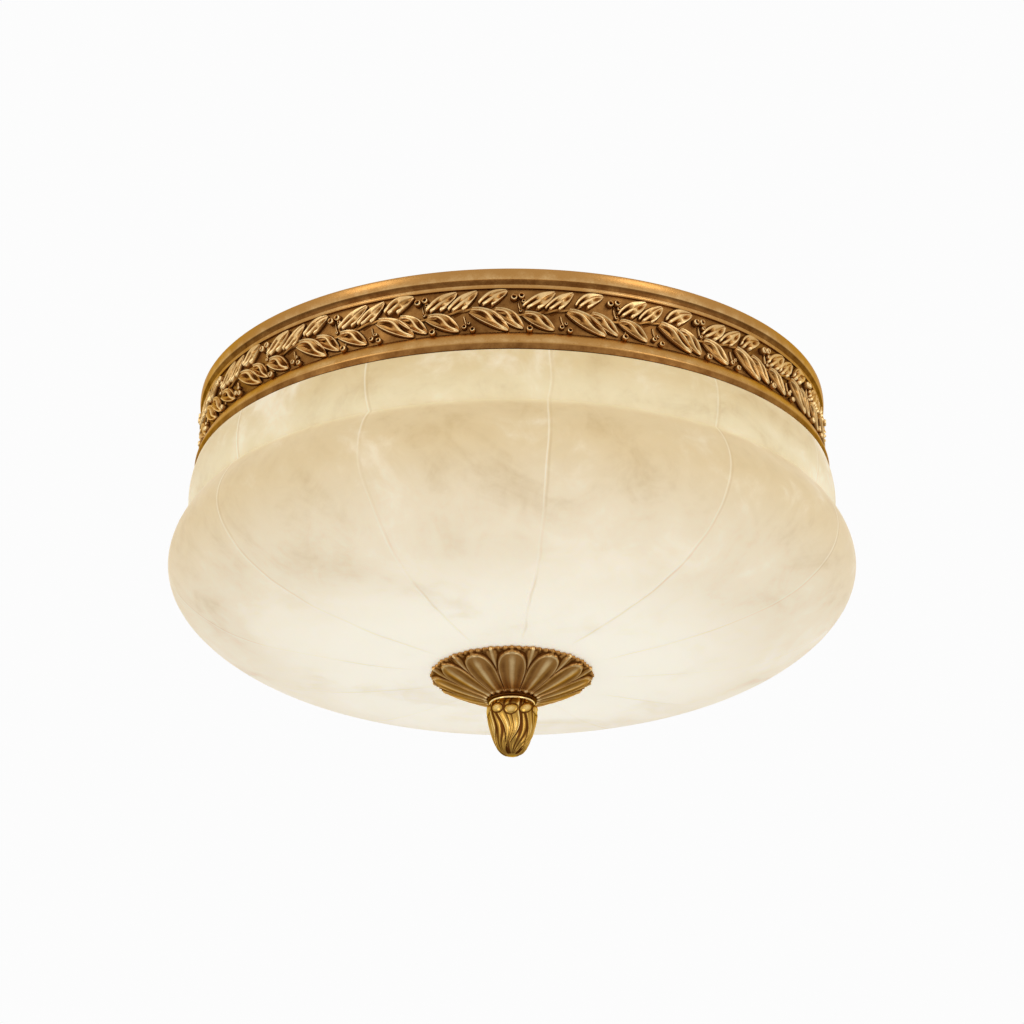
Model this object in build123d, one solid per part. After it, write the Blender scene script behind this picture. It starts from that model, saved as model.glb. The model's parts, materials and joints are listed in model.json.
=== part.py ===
from build123d import *
import math
import os

# Flush ceiling light: a brass band with a laurel frieze, an alabaster bowl held up by a centre
# rod and a finial, and three lamps inside. Millimetres, +Z up. The origin is the centre of the
# ceiling plane, so everything hangs below z = 0.

# Driving dimensions -----------------------------------------------------------------------------

# clearances
running_clearance = 0.3
fit_clearance = 0.1

# band, a spun brass shell
band_radius = 208.6
band_height = 55.0
band_sheet = 1.4
band_foot_flare = 2.4
band_foot_width = 8.0
band_flange_width = 14.6
fascia_height = 6.9
fascia_crown = 0.5
recess_depth = 4.0
recess_top = 9.2
recess_bottom = 42.6
foot_edge_height = 3.7
foot_edge_inset = 2.6
foot_cove = 0.3

# leaf frieze, a cast strip in the band's recess
strip_thickness = 1.3
strip_margin = 3.9
sprig_count = 22
leaf_height = 3.2
leaf_bevel = 48.0
berry_height = 2.2
berry_bevel = 25.0
berry_sides = 6
cast_sink = 0.6
stem_radius = 1.4
stem_level = 0.52
stem_wave = 2.3
stem_phase = 33.0
stem_bends = 4

# one sprig: places are a share of the sprig's width, counted to the right, and a share of the
# strip's height, counted down. A leaf has its stalk, its tip and its half width.
sprig_leaves = [
    ((0.13, 0.52), (0.44, 0.06), 4.9),
    ((0.35, 0.53), (0.64, 0.06), 4.6),
    ((0.67, 0.43), (0.98, 0.06), 4.7),
    ((0.57, 0.51), (0.97, 0.97), 4.8),
    ((0.81, 0.52), (1.11, 0.94), 4.4),
    ((1.12, 0.61), (1.46, 0.96), 4.4),
]
# a berry has its middle and its radius
sprig_berries = [
    ((0.02, 0.23), 2.3),
    ((0.10, 0.19), 2.3),
    ((0.18, 0.91), 2.0),
    ((0.51, 0.87), 1.9),
    ((0.60, 0.92), 1.8),
]

# ceiling pan
pan_gap = 1.0
pan_sheet = 1.0
pan_depth = 20.0
pan_lip_width = 8.0
band_screw_count = 6
band_screw_radius = 1.9
band_screw_head_radius = 3.6
band_screw_head_height = 2.2

# crossbar
crossbar_end = 4.55
crossbar_width = 18.0
crossbar_thickness = 2.5
box_screw_spacing = 88.9
box_slot_length = 12.0
box_slot_width = 5.0
ground_screw_offset = 28.0
ground_screw_radius = 2.0
ground_screw_head_radius = 4.0
ground_screw_head_height = 2.4
lug_radius = 4.6
lug_thickness = 0.8

# centre rod and its nuts
rod_radius = 4.9
rod_top_gap = 0.5
thread_length = 12.5
nut_across_flats = 17.0
nut_height = 5.0
washer_radius = 11.0
washer_thickness = 1.5

# bowl, outside profile
bowl_wall = 7.0
bowl_rim_inset = 1.6
neck_swell = 3.8
neck_drop = 20.0
crease_swell = 2.0
crease_drop = 33.6
bulge_swell = 15.6
bulge_drop = 64.0
shoulder_inset = 13.9
shoulder_rise = 29.4
floor_inset = 65.3
floor_rise = 10.4
base_radius = 52.0
base_rise = 1.0
seat_radius = 26.0
bowl_drop = 131.6
rim_fillet = 2.4
bowl_hole_radius = 6.5
gasket_thickness = 0.8
gasket_width = 3.0

# clamp at the bowl's middle
felt_thickness = 1.5
plate_radius = 24.0
plate_thickness = 2.5
lower_felt_radius = 17.0

# rosette
rosette_radius = 53.0
rosette_neck_radius = 15.8
rosette_height = 16.6
rosette_mid_height = 6.2
rosette_thickness = 2.6
rosette_rim_gap = 0.5
rosette_boss_radius = 13.0
petal_count = 12
petal_relief = 1.3
petal_border = 1.3
petal_neck_margin = 1.2
petal_rim_margin = 1.5
petal_round = 10.5
petal_gap = 2.0
petal_neck_gap = 0.8
petal_rib_width = 5.2
petal_rib_margin = 2.5

# rings and finial
neck_ring_radius = 16.2
neck_ring_height = 2.6
neck_ring_groove = 0.9
bead_ring_radius = 13.8
bead_ring_height = 2.2
finial_top_radius = 14.2
finial_shoulder_radius = 15.8
finial_shoulder_drop = 1.6
finial_radius = 16.5
finial_height = 34.6
finial_widest_drop = 4.6
finial_waist_radius = 14.6
finial_waist_drop = 16.6
finial_tip_radius = 9.4
finial_tip_drop = 29.6
finial_bore_spare = 1.5
finial_leaf_count = 6
finial_groove_width = 1.0
finial_groove_depth = 0.9

# lamps, standard E27
lamp_count = 3
first_lamp_angle = 90.0
lamp_drop = 62.0
holder_reach = 46.5
holder_radius = 19.5
holder_rear_radius = 15.0
holder_rear_length = 6.0
holder_taper_length = 4.0
holder_length = 40.0
holder_floor = 12.0
wire_hole_radius = 2.2
shell_wall = 0.6
shell_length = 24.0
shell_hole_radius = 6.0
contact_radius = 4.0
contact_height = 2.0
contact_top_radius = 2.8
cap_radius = 13.2
cap_length = 27.0
cap_wall = 0.8
cap_tip_radius = 4.2
cap_insulator_radius = 7.5
cap_insulator_length = 3.2
cap_chamfer = 1.4
bulb_radius = 30.0
bulb_length = 108.0
bulb_wall = 0.8
bulb_overlap = 4.0
bulb_neck_length = 6.0

# holder brackets
bracket_sheet = 1.5
bracket_wire_hole_radius = 3.2
bracket_width = 34.0
bracket_foot = 20.0
bracket_screw_reach = 11.0
bracket_screw_spread = 20.0
bracket_screw_radius = 1.9
bracket_screw_head_radius = 3.5
bracket_screw_head_height = 2.4
bracket_nut_across_flats = 7.0
bracket_nut_height = 3.2
holder_screw_spread = 21.0
holder_screw_radius = 1.5
holder_screw_head_radius = 2.7
holder_screw_head_height = 1.9
holder_screw_depth = 7.0

# wiring in the pan
lead_radius = 1.5
lead_drop_radius = 26.0
lead_height = 10.0
lead_straight = 14.0
lead_bow = 12.2
bend_share = 0.45
earth_lead_straight = 18.0
earth_lead_side = 4.0
earth_lead_run = 34.0
earth_lead_height = 8.0
lug_straight = 11.0
grommet_radius = 4.4
grommet_flange_radius = 6.0
grommet_flange = 1.4
block_length = 46.0
block_width = 16.0
block_height = 13.0
block_corner = 1.5
block_distance = 70.0
block_pitch = 12.0
block_way_count = 4
block_way_depth = 6.0
block_screw_radius = 1.9
block_screw_height = 3.0
block_screw_recess = 1.2
block_screw_slot_width = 0.6
block_screw_slot_depth = 0.5

# Places worked out from the dimensions ----------------------------------------------------------

band_foot_radius = band_radius + band_foot_flare
band_foot_inner_radius = band_foot_radius - band_foot_width
band_flange_inner_radius = band_radius - band_flange_width
recess_radius = band_radius - recess_depth
pan_radius = band_flange_inner_radius - pan_gap
pan_floor_top = -pan_depth
pan_floor_bottom = -pan_depth - pan_sheet
strip_inner_radius = recess_radius + fit_clearance
strip_outer_radius = strip_inner_radius + strip_thickness
strip_top = -recess_top - strip_margin
strip_bottom = -recess_bottom
strip_height = strip_top - strip_bottom
sprig_angle = 360.0 / sprig_count
quarter_turn = 90.0
crossbar_length = box_screw_spacing + box_slot_length + 2 * crossbar_end
rim_z = -band_height - gasket_thickness
bowl_rim_radius = band_foot_radius - bowl_rim_inset
neck_radius = bowl_rim_radius + neck_swell
crease_radius = bowl_rim_radius + crease_swell
bulge_radius = bowl_rim_radius + bulge_swell
shoulder_radius = bowl_rim_radius - shoulder_inset
floor_radius = bowl_rim_radius - floor_inset
shoulder_drop = bowl_drop - shoulder_rise
floor_drop = bowl_drop - floor_rise
base_drop = bowl_drop - base_rise
bowl_bottom_z = rim_z - bowl_drop
bowl_floor_z = bowl_bottom_z + bowl_wall
rod_hole_radius = rod_radius + running_clearance
nut_hole_radius = rod_radius + fit_clearance
plate_bottom_z = bowl_floor_z + felt_thickness
plate_top_z = plate_bottom_z + plate_thickness
rosette_boss_top = bowl_bottom_z - felt_thickness
rosette_rim_z = rim_z - base_drop - rosette_rim_gap
rosette_bottom_z = rosette_rim_z - rosette_height
petal_start = rosette_neck_radius + petal_neck_margin
petal_end = rosette_radius - petal_rim_margin
petal_widest = petal_end - petal_round
petal_half_angle = math.pi / petal_count
neck_ring_bottom_z = rosette_bottom_z - neck_ring_height
finial_top_z = neck_ring_bottom_z - bead_ring_height
finial_bottom_z = finial_top_z - finial_height
rod_bottom_z = finial_top_z - thread_length
lamp_z = -lamp_drop
shell_inner_radius = cap_radius + running_clearance
shell_outer_radius = shell_inner_radius + shell_wall
holder_bore_radius = shell_outer_radius + fit_clearance
contact_top = holder_floor + contact_height
lamp_tip = contact_top + running_clearance
lamp_angles = [first_lamp_angle + turn * 360.0 / lamp_count for turn in range(lamp_count)]
block_face_y = -block_distance + block_width / 2
way_offsets = [(way - (block_way_count - 1) / 2) * block_pitch for way in range(block_way_count)]


# Shape helpers ----------------------------------------------------------------------------------

def disc(radius, low, high):
    """Upright cylinder about the Z axis between two heights."""
    base = Pos(0, 0, low) * Circle(radius)
    return extrude(base, high - low)


def ring(outer, inner, low, high):
    """Flat ring about the Z axis between two heights."""
    base = Pos(0, 0, low) * (Circle(outer) - Circle(inner))
    return extrude(base, high - low)


def hex_nut(across_flats, bore, low, high):
    """Hexagon nut about the Z axis."""
    flats = RegularPolygon(across_flats / 2, 6, major_radius=False)
    return extrude(Pos(0, 0, low) * (flats - Circle(bore)), high - low)


def revolved(face):
    """Turn a face in the XZ plane about the Z axis."""
    return revolve(face, Axis.Z)


def upright(points):
    """Straight lines in the XZ plane through (radius, height) points."""
    return Polyline(*[(r, 0, z) for r, z in points])


def curved(start, middle, end):
    """Arc in the XZ plane through three (radius, height) points."""
    return ThreePointArc(*[(r, 0, z) for r, z in (start, middle, end)])


def section(points):
    """Closed face in the XZ plane from (radius, height) points."""
    return make_face(upright(points + points[:1]))


def turned(points):
    """Solid turned about the X axis from (distance, radius) points."""
    return revolve(make_face(Polyline(*points, close=True)), Axis.X)


def pan_head_screw(head_radius, head_height, shank_radius, shank_length):
    """Screw about the Z axis with its head below z = 0 and its shank above."""
    return disc(head_radius, -head_height, 0) + disc(shank_radius, 0, shank_length)


def at_lamp(angle, part):
    """Place a part modelled along X, with x = 0 at the holder's rear face, at one lamp."""
    return Rot(0, 0, angle) * Pos(holder_reach, 0, lamp_z) * part


def mitred(points, wall):
    """Inner line of a sheet: each point moved square to its two edges by the wall."""
    normals = []
    for (r, z), (next_r, next_z) in zip(points, points[1:]):
        length = math.dist((r, z), (next_r, next_z))
        normals.append(((next_z - z) / length, (r - next_r) / length))
    moved = []
    for (r, z), before, after in zip(points, normals[:1] + normals, normals + normals[-1:]):
        sum_r = before[0] + after[0]
        sum_z = before[1] + after[1]
        scale = 2 * wall / (sum_r ** 2 + sum_z ** 2)
        moved.append((r + sum_r * scale, z + sum_z * scale))
    return moved


# Band and frieze --------------------------------------------------------------------------------

def make_band():
    """Spun shell: top flange, crowned fascia, recess for the frieze, flared foot, bottom flange."""
    flange = [(band_flange_inner_radius, 0.0), (band_radius - fascia_crown, 0.0)]
    recess = [
        (band_radius - fascia_crown, -fascia_height),
        (recess_radius, -recess_top),
        (recess_radius, -recess_bottom),
        (recess_radius + strip_thickness, -recess_bottom),
    ]
    foot = [
        (band_foot_radius, -band_height + foot_edge_height),
        (band_foot_radius - foot_edge_inset, -band_height),
        (band_foot_inner_radius, -band_height),
    ]
    inside = mitred(flange + recess + foot, band_sheet)
    cove = ((recess[-1][0] + foot[0][0]) / 2 - foot_cove, (recess[-1][1] + foot[0][1]) / 2)
    outline = upright(flange)
    outline += curved(flange[-1], (band_radius, -fascia_height / 2), recess[0])
    outline += upright(recess)
    outline += curved(recess[-1], cove, foot[0])
    outline += upright(foot + inside[::-1] + flange[:1])
    body = revolved(make_face(outline))
    for screw in PolarLocations(band_screw_circle(), band_screw_count):
        hole = disc(band_screw_radius + fit_clearance, -pan_depth, 1)
        body -= screw * hole
    return body


def band_screw_circle():
    return pan_radius + pan_lip_width / 2


def on_strip(place, heading):
    """Plane just under the strip's face at a place in the sprig, X along the heading."""
    across, down = place
    turn = Rot(0, 0, across * sprig_angle - quarter_turn)
    spot = Pos(strip_outer_radius - cast_sink, 0, strip_top - down * strip_height)
    stand = Rot(0, 0, quarter_turn) * Rot(quarter_turn, 0, 0)
    return turn * spot * stand * Rot(0, 0, heading)


def make_leaf(stalk, tip, half_width):
    """Pointed leaf: two arcs raised to a ridge with bevelled sides."""
    run = (tip[0] - stalk[0]) * math.radians(sprig_angle) * strip_outer_radius
    rise = (stalk[1] - tip[1]) * strip_height
    half_length = math.hypot(run, rise) / 2
    lower = ThreePointArc((-half_length, 0), (0, -half_width), (half_length, 0))
    upper = ThreePointArc((half_length, 0), (0, half_width), (-half_length, 0))
    blade = extrude(make_face(lower + upper), cast_sink + leaf_height, taper=leaf_bevel)
    middle = ((stalk[0] + tip[0]) / 2, (stalk[1] + tip[1]) / 2)
    return on_strip(middle, math.degrees(math.atan2(rise, run))) * blade


def make_berry(place, radius):
    """Berry: a short bevelled stud."""
    stud = extrude(
        RegularPolygon(radius, berry_sides), cast_sink + berry_height, taper=berry_bevel)
    return on_strip(place, 0) * stud


def make_stem():
    """Winding stem: a closed bar whose height swings up and down once in each sprig."""
    radius = strip_outer_radius + cast_sink
    level = strip_top - stem_level * strip_height
    bends = []
    for step in range(sprig_count * stem_bends):
        turn = 2 * math.pi * step / (sprig_count * stem_bends)
        swing = stem_wave * math.cos(sprig_count * turn - math.radians(stem_phase))
        angle = turn - math.radians(quarter_turn)
        bends.append((radius * math.cos(angle), radius * math.sin(angle), level - swing))
    path = Polyline(*bends, close=True)
    face = Plane(origin=path @ 0, z_dir=path % 0) * RegularPolygon(stem_radius, berry_sides)
    return sweep(face, path, transition=Transition.RIGHT)


def make_frieze():
    """Cast strip in the recess, with its stem and a sprig of leaves and berries all round."""
    strip = revolved(section([
        (strip_inner_radius, strip_top),
        (strip_outer_radius, strip_top),
        (strip_outer_radius, strip_bottom),
        (strip_inner_radius, strip_bottom),
    ]))
    sprig = [make_leaf(*leaf) for leaf in sprig_leaves]
    sprig += [make_berry(*berry) for berry in sprig_berries]
    relief = [Rot(0, 0, turn * sprig_angle) * piece
              for turn in range(sprig_count) for piece in sprig]
    return strip.fuse(make_stem(), *relief)


# Pan, crossbar and rod --------------------------------------------------------------------------

def make_pan():
    """Pressed dish, open to the ceiling, with an out-turned lip under the band's top flange."""
    lip_top = -band_sheet
    lip_bottom = -band_sheet - pan_sheet
    body = revolved(section([
        (rod_radius + running_clearance, pan_floor_bottom),
        (pan_radius, pan_floor_bottom),
        (pan_radius, lip_bottom),
        (pan_radius + pan_lip_width, lip_bottom),
        (pan_radius + pan_lip_width, lip_top),
        (pan_radius - pan_sheet, lip_top),
        (pan_radius - pan_sheet, pan_floor_top),
        (rod_radius + running_clearance, pan_floor_top),
    ]))
    for place in PolarLocations(band_screw_circle(), band_screw_count):
        body -= place * disc(band_screw_radius + fit_clearance, -pan_depth, 0)
    for angle in lamp_angles:
        turn = Rot(0, 0, angle)
        body -= turn * Pos(lead_drop_radius, 0, 0) * disc(grommet_radius, -2 * pan_depth, 0)
        for side in (-1, 1):
            spot = Pos(holder_reach + bracket_screw_reach, side * bracket_screw_spread / 2, 0)
            body -= turn * spot * disc(bracket_screw_radius + fit_clearance, -2 * pan_depth, 0)
    return body


def make_band_screws():
    """Screws up through the pan's lip into the band's top flange."""
    reach = pan_sheet + band_sheet - fit_clearance
    screw = pan_head_screw(
        band_screw_head_radius, band_screw_head_height, band_screw_radius, reach)
    height = -band_sheet - pan_sheet
    return [place * Pos(0, 0, height) * screw
            for place in PolarLocations(band_screw_circle(), band_screw_count)]


def make_crossbar():
    """Strap against the ceiling box: two slots, a tapped centre hole and an earth hole."""
    outline = RectangleRounded(crossbar_length, crossbar_width, crossbar_width / 4)
    slots = [Pos(side * box_screw_spacing / 2, 0) * SlotOverall(box_slot_length, box_slot_width)
             for side in (-1, 1)]
    holes = [Circle(nut_hole_radius),
             Pos(-ground_screw_offset, 0) * Circle(ground_screw_radius + fit_clearance)]
    flat = outline - slots - holes
    return extrude(Pos(0, 0, -crossbar_thickness) * flat, crossbar_thickness)


def make_ground_screw():
    """Earth screw up through the lug and the crossbar."""
    height = -crossbar_thickness - lug_thickness
    screw = pan_head_screw(
        ground_screw_head_radius, ground_screw_head_height,
        ground_screw_radius, crossbar_thickness + lug_thickness - fit_clearance)
    return Pos(-ground_screw_offset, 0, height) * screw


def make_ground_lug():
    """Ring tongue under the earth screw's head."""
    tongue = Circle(lug_radius) + Pos(0, -lug_radius) * Rectangle(2 * lead_radius, 2 * lug_radius)
    flat = tongue - Circle(ground_screw_radius + fit_clearance)
    height = -crossbar_thickness - lug_thickness
    return Pos(-ground_screw_offset, 0, height) * extrude(flat, lug_thickness)


# Bowl -------------------------------------------------------------------------------------------

def bowl_line(offset):
    """Half outline of the bowl, moved inwards and upwards by the offset.

    It runs down the convex neck to the crease, round the bulge and in to the flat seat.
    """
    neck = ThreePointArc(
        (bowl_rim_radius - offset, 0, rim_z),
        (neck_radius - offset, 0, rim_z - neck_drop),
        (crease_radius - offset, 0, rim_z - crease_drop))
    bulge = Spline(
        (crease_radius - offset, 0, rim_z - crease_drop),
        (bulge_radius - offset, 0, rim_z - bulge_drop),
        (shoulder_radius - offset, 0, rim_z - shoulder_drop + offset),
        (floor_radius, 0, rim_z - floor_drop + offset),
        (base_radius, 0, rim_z - base_drop + offset),
        (seat_radius, 0, rim_z - bowl_drop + offset),
        tangents=((1, 0, -1), (-1, 0, 0)))
    return neck + bulge


def make_bowl():
    """Turned bowl with a flat rim, a flat seat and a hole for the rod."""
    outer_seat = Line((seat_radius, 0, bowl_bottom_z), (bowl_hole_radius, 0, bowl_bottom_z))
    hole = Line((bowl_hole_radius, 0, bowl_bottom_z), (bowl_hole_radius, 0, bowl_floor_z))
    inner_seat = Line((bowl_hole_radius, 0, bowl_floor_z), (seat_radius, 0, bowl_floor_z))
    rim = Line((bowl_rim_radius - bowl_wall, 0, rim_z), (bowl_rim_radius, 0, rim_z))
    edges = bowl_line(0.0) + outer_seat + hole + inner_seat + bowl_line(bowl_wall) + rim
    body = revolved(make_face(edges))
    rim_edges = body.edges().filter_by(GeomType.CIRCLE).filter_by(
        lambda edge: abs(edge.center().Z - rim_z) < fit_clearance)
    return fillet(rim_edges.sort_by(lambda edge: edge.radius)[-1], rim_fillet)


def make_gasket():
    """Flat ring between the bowl's rim and the band's bottom flange."""
    outer = bowl_rim_radius - rim_fillet
    return ring(outer, outer - gasket_width, rim_z, -band_height)


# Rosette, rings and finial ----------------------------------------------------------------------

def rosette_line(offset):
    """Dish line from the neck out to the rim, raised by the offset."""
    return ThreePointArc(
        (rosette_neck_radius, 0, rosette_bottom_z + offset),
        ((rosette_neck_radius + rosette_radius) / 2, 0,
         rosette_bottom_z + rosette_mid_height + offset),
        (rosette_radius, 0, rosette_rim_z - rosette_thickness + offset))


def rosette_layer(low_offset, high_offset):
    """Skin of the dish between two offsets."""
    low = rosette_line(low_offset)
    high = rosette_line(high_offset)
    return revolved(make_face(low + Line(low @ 1, high @ 1) + high + Line(high @ 0, low @ 0)))


def petal_outline(inset):
    """Spoon-shaped petal seen from below: straight sides from the neck and a rounded end."""
    start = petal_start + inset
    end = petal_end - inset
    neck_half = start * math.sin(petal_half_angle) - petal_neck_gap - inset
    half = petal_widest * math.sin(petal_half_angle) - petal_gap - inset
    shoulder = math.sqrt(0.5)
    knuckle = petal_widest + shoulder * (end - petal_widest)
    sides = Polyline(
        (petal_widest, -half), (start, -neck_half), (start, neck_half), (petal_widest, half))
    left = ThreePointArc((petal_widest, half), (knuckle, shoulder * half), (end, 0))
    right = ThreePointArc((end, 0), (knuckle, -shoulder * half), (petal_widest, -half))
    return make_face(sides + left + right)


def make_petal_relief():
    """Raised border and pointed rib of one petal, as thick as the dish's lower skin."""
    border = petal_outline(0.0) - petal_outline(petal_border)
    rib = make_face(Polyline(
        (petal_start + petal_rib_margin, 0), (petal_widest, petal_rib_width / 2),
        (petal_end - petal_rib_margin, 0), (petal_widest, -petal_rib_width / 2), close=True))
    skin = rosette_layer(0.0, petal_relief + rosette_thickness / 4)
    return [extrude(Pos(0, 0, rosette_bottom_z - petal_relief) * flat, rosette_height) & skin
            for flat in (border, rib)]


def make_rosette():
    """Cast dish of petals, with a collar at the neck and a boss that bears on the lower felt."""
    low = rosette_line(petal_relief)
    high = rosette_line(rosette_thickness)
    rim = Line(low @ 1, high @ 1)
    neck_low = low @ 0
    neck_high = high @ 0
    hub = Polyline(
        neck_low, (rod_hole_radius, 0, neck_low.Z),
        (rod_hole_radius, 0, rosette_boss_top), (rosette_boss_radius, 0, rosette_boss_top),
        (rosette_boss_radius, 0, neck_high.Z), neck_high)
    dish = revolved(make_face(low + rim + high + hub))
    collar = ring(petal_start, rod_hole_radius, rosette_bottom_z, rosette_bottom_z + petal_relief)
    relief = [turn * piece for turn in PolarLocations(0, petal_count, -quarter_turn)
              for piece in make_petal_relief()]
    return dish.fuse(collar, *relief)


def make_neck_ring():
    """Waisted ring under the rosette."""
    low = neck_ring_bottom_z
    high = rosette_bottom_z
    middle = (low + high) / 2
    groove = ThreePointArc(
        (neck_ring_radius, 0, high),
        (neck_ring_radius - neck_ring_groove, 0, middle),
        (neck_ring_radius, 0, low))
    sides = Polyline(
        (neck_ring_radius, 0, low), (rod_hole_radius, 0, low),
        (rod_hole_radius, 0, high), (neck_ring_radius, 0, high))
    return revolved(make_face(groove + sides))


def make_bead_ring():
    """Half-round bead between the neck ring and the finial."""
    middle = (finial_top_z + neck_ring_bottom_z) / 2
    bead = ThreePointArc(
        (bead_ring_radius, 0, neck_ring_bottom_z),
        (bead_ring_radius + bead_ring_height / 2, 0, middle),
        (bead_ring_radius, 0, finial_top_z))
    sides = Polyline(
        (bead_ring_radius, 0, finial_top_z), (rod_hole_radius, 0, finial_top_z),
        (rod_hole_radius, 0, neck_ring_bottom_z), (bead_ring_radius, 0, neck_ring_bottom_z))
    return revolved(make_face(bead + sides))


def finial_line():
    """Half outline of the bud: shoulder, long flank and a tip that is part of a sphere."""
    tip_z = finial_top_z - finial_tip_drop
    tip_height = tip_z - finial_bottom_z
    sphere = (finial_tip_radius ** 2 + tip_height ** 2) / (2 * tip_height)
    half_turn = math.asin(finial_tip_radius / sphere) / 2
    shoulder = ThreePointArc(
        (finial_top_radius, 0, finial_top_z),
        (finial_shoulder_radius, 0, finial_top_z - finial_shoulder_drop),
        (finial_radius, 0, finial_top_z - finial_widest_drop))
    flank = ThreePointArc(
        (finial_radius, 0, finial_top_z - finial_widest_drop),
        (finial_waist_radius, 0, finial_top_z - finial_waist_drop),
        (finial_tip_radius, 0, tip_z))
    tip = ThreePointArc(
        (finial_tip_radius, 0, tip_z),
        (sphere * math.sin(half_turn), 0,
         finial_bottom_z + sphere * (1 - math.cos(half_turn))),
        (0, 0, finial_bottom_z))
    return shoulder + flank + tip


def make_finial():
    """Cast bud, bored and tapped from above for the rod."""
    bore_end = rod_bottom_z - finial_bore_spare
    inside = Polyline(
        (0, 0, finial_bottom_z), (0, 0, bore_end), (rod_hole_radius, 0, bore_end),
        (rod_hole_radius, 0, finial_top_z), (finial_top_radius, 0, finial_top_z))
    bud = revolved(make_face(finial_line() + inside))
    grooves = PolarLocations(0, finial_leaf_count, quarter_turn / finial_leaf_count)
    return bud - [turn * make_finial_groove() for turn in grooves]


def make_finial_groove():
    """Slot between two leaves, which follows the bud's flank at the groove's depth."""
    top = (finial_radius - finial_groove_depth, finial_top_z - finial_widest_drop)
    middle = (finial_waist_radius - finial_groove_depth, finial_top_z - finial_waist_drop)
    low = (finial_tip_radius - finial_groove_depth, finial_top_z - finial_tip_drop)
    outer = finial_radius + finial_groove_depth
    floor = curved(top, middle, low)
    outside = upright([low, (outer, low[1]), (outer, top[1]), top])
    return extrude(make_face(floor + outside), finial_groove_width / 2, both=True)


# Lamps and holders ------------------------------------------------------------------------------

def make_holder():
    """Porcelain body with a bore for the screw shell and two blind holes at the back."""
    body = turned([
        (0, wire_hole_radius), (0, holder_rear_radius),
        (holder_rear_length, holder_rear_radius),
        (holder_rear_length + holder_taper_length, holder_radius),
        (holder_length, holder_radius), (holder_length, holder_bore_radius),
        (holder_floor, holder_bore_radius), (holder_floor, wire_hole_radius)])
    for side in (-1, 1):
        hole = Rot(0, 90, 0) * disc(holder_screw_radius + fit_clearance, 0, holder_screw_depth)
        body -= Pos(0, side * holder_screw_spread / 2, 0) * hole
    return body


def make_screw_shell():
    """Thin cup with a hole for the centre contact."""
    end = holder_floor + shell_length
    floor = holder_floor + shell_wall
    return turned([
        (holder_floor, shell_hole_radius), (holder_floor, shell_outer_radius),
        (end, shell_outer_radius), (end, shell_inner_radius),
        (floor, shell_inner_radius), (floor, shell_hole_radius)])


def make_contact():
    """Raised centre contact on the holder's floor."""
    step = holder_floor + contact_height / 2
    return turned([
        (holder_floor, 0), (holder_floor, contact_radius), (step, contact_radius),
        (contact_top, contact_top_radius), (contact_top, 0)])


def make_cap():
    """Lamp cap: tip contact, insulator cone and screw sleeve."""
    start = lamp_tip + cap_insulator_length
    end = lamp_tip + cap_length
    return turned([
        (lamp_tip, 0), (lamp_tip, cap_tip_radius), (start, cap_insulator_radius),
        (start, cap_radius - cap_chamfer), (start + cap_chamfer, cap_radius),
        (end, cap_radius), (end, cap_radius - cap_wall),
        (start + cap_chamfer, cap_radius - cap_wall), (start + cap_wall, 0)])


def bulb_edges(offset):
    """Half outline of the bulb, moved inwards by the offset."""
    start = lamp_tip + cap_length - bulb_overlap
    neck_end = lamp_tip + cap_length + bulb_neck_length
    neck = cap_radius - cap_wall - fit_clearance - offset
    end = lamp_tip + bulb_length
    centre = end - bulb_radius
    radius = bulb_radius - offset
    sleeve = Line((start, neck), (neck_end, neck))
    flare = Spline((neck_end, neck), (centre, radius), tangents=((1, 0), (1, 0)))
    quarter = radius * math.sqrt(0.5)
    dome = ThreePointArc(
        (centre, radius), (centre + quarter, quarter), (centre + radius, 0))
    return sleeve + flare + dome


def make_bulb():
    """Thin glass envelope, open at the neck inside the cap."""
    outer = bulb_edges(0.0)
    inner = bulb_edges(bulb_wall)
    start = lamp_tip + cap_length - bulb_overlap
    neck = cap_radius - cap_wall - fit_clearance
    end = lamp_tip + bulb_length
    mouth = Line((start, neck), (start, neck - bulb_wall))
    pole = Line((end, 0), (end - bulb_wall, 0))
    return revolve(make_face(outer + inner + mouth + pole), Axis.X)


def make_bracket():
    """Bent strap: a foot under the pan and a round-ended plate that carries the holder."""
    foot_z = pan_floor_bottom - lamp_z
    outline = Pos(0, foot_z / 2) * Rectangle(bracket_width, foot_z)
    outline += Circle(bracket_width / 2)
    outline -= Circle(bracket_wire_hole_radius)
    for side in (-1, 1):
        spot = Pos(side * holder_screw_spread / 2, 0)
        outline -= spot * Circle(holder_screw_radius + fit_clearance)
    plate = extrude(Plane.YZ * outline, -bracket_sheet)
    foot_flat = Pos(bracket_foot / 2 - bracket_sheet, 0) * Rectangle(bracket_foot, bracket_width)
    for side in (-1, 1):
        spot = Pos(bracket_screw_reach, side * bracket_screw_spread / 2)
        foot_flat -= spot * Circle(bracket_screw_radius + fit_clearance)
    foot = extrude(Pos(0, 0, foot_z - bracket_sheet) * foot_flat, bracket_sheet)
    return plate + foot


def make_bracket_screws():
    """Screws up through each bracket's foot and the pan."""
    reach = bracket_sheet + pan_sheet + bracket_nut_height
    screw = pan_head_screw(
        bracket_screw_head_radius, bracket_screw_head_height, bracket_screw_radius, reach)
    return bracket_fasteners(screw, pan_floor_bottom - bracket_sheet)


def make_bracket_nuts():
    """Nuts on top of the pan for the bracket screws."""
    nut = hex_nut(
        bracket_nut_across_flats, bracket_screw_radius + fit_clearance, 0, bracket_nut_height)
    return bracket_fasteners(nut, pan_floor_top)


def bracket_fasteners(part, height):
    """One copy of the part at each bracket screw."""
    copies = []
    for angle in lamp_angles:
        for side in (-1, 1):
            spot = Pos(holder_reach + bracket_screw_reach,
                       side * bracket_screw_spread / 2, height)
            copies.append(Rot(0, 0, angle) * spot * part)
    return copies


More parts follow.
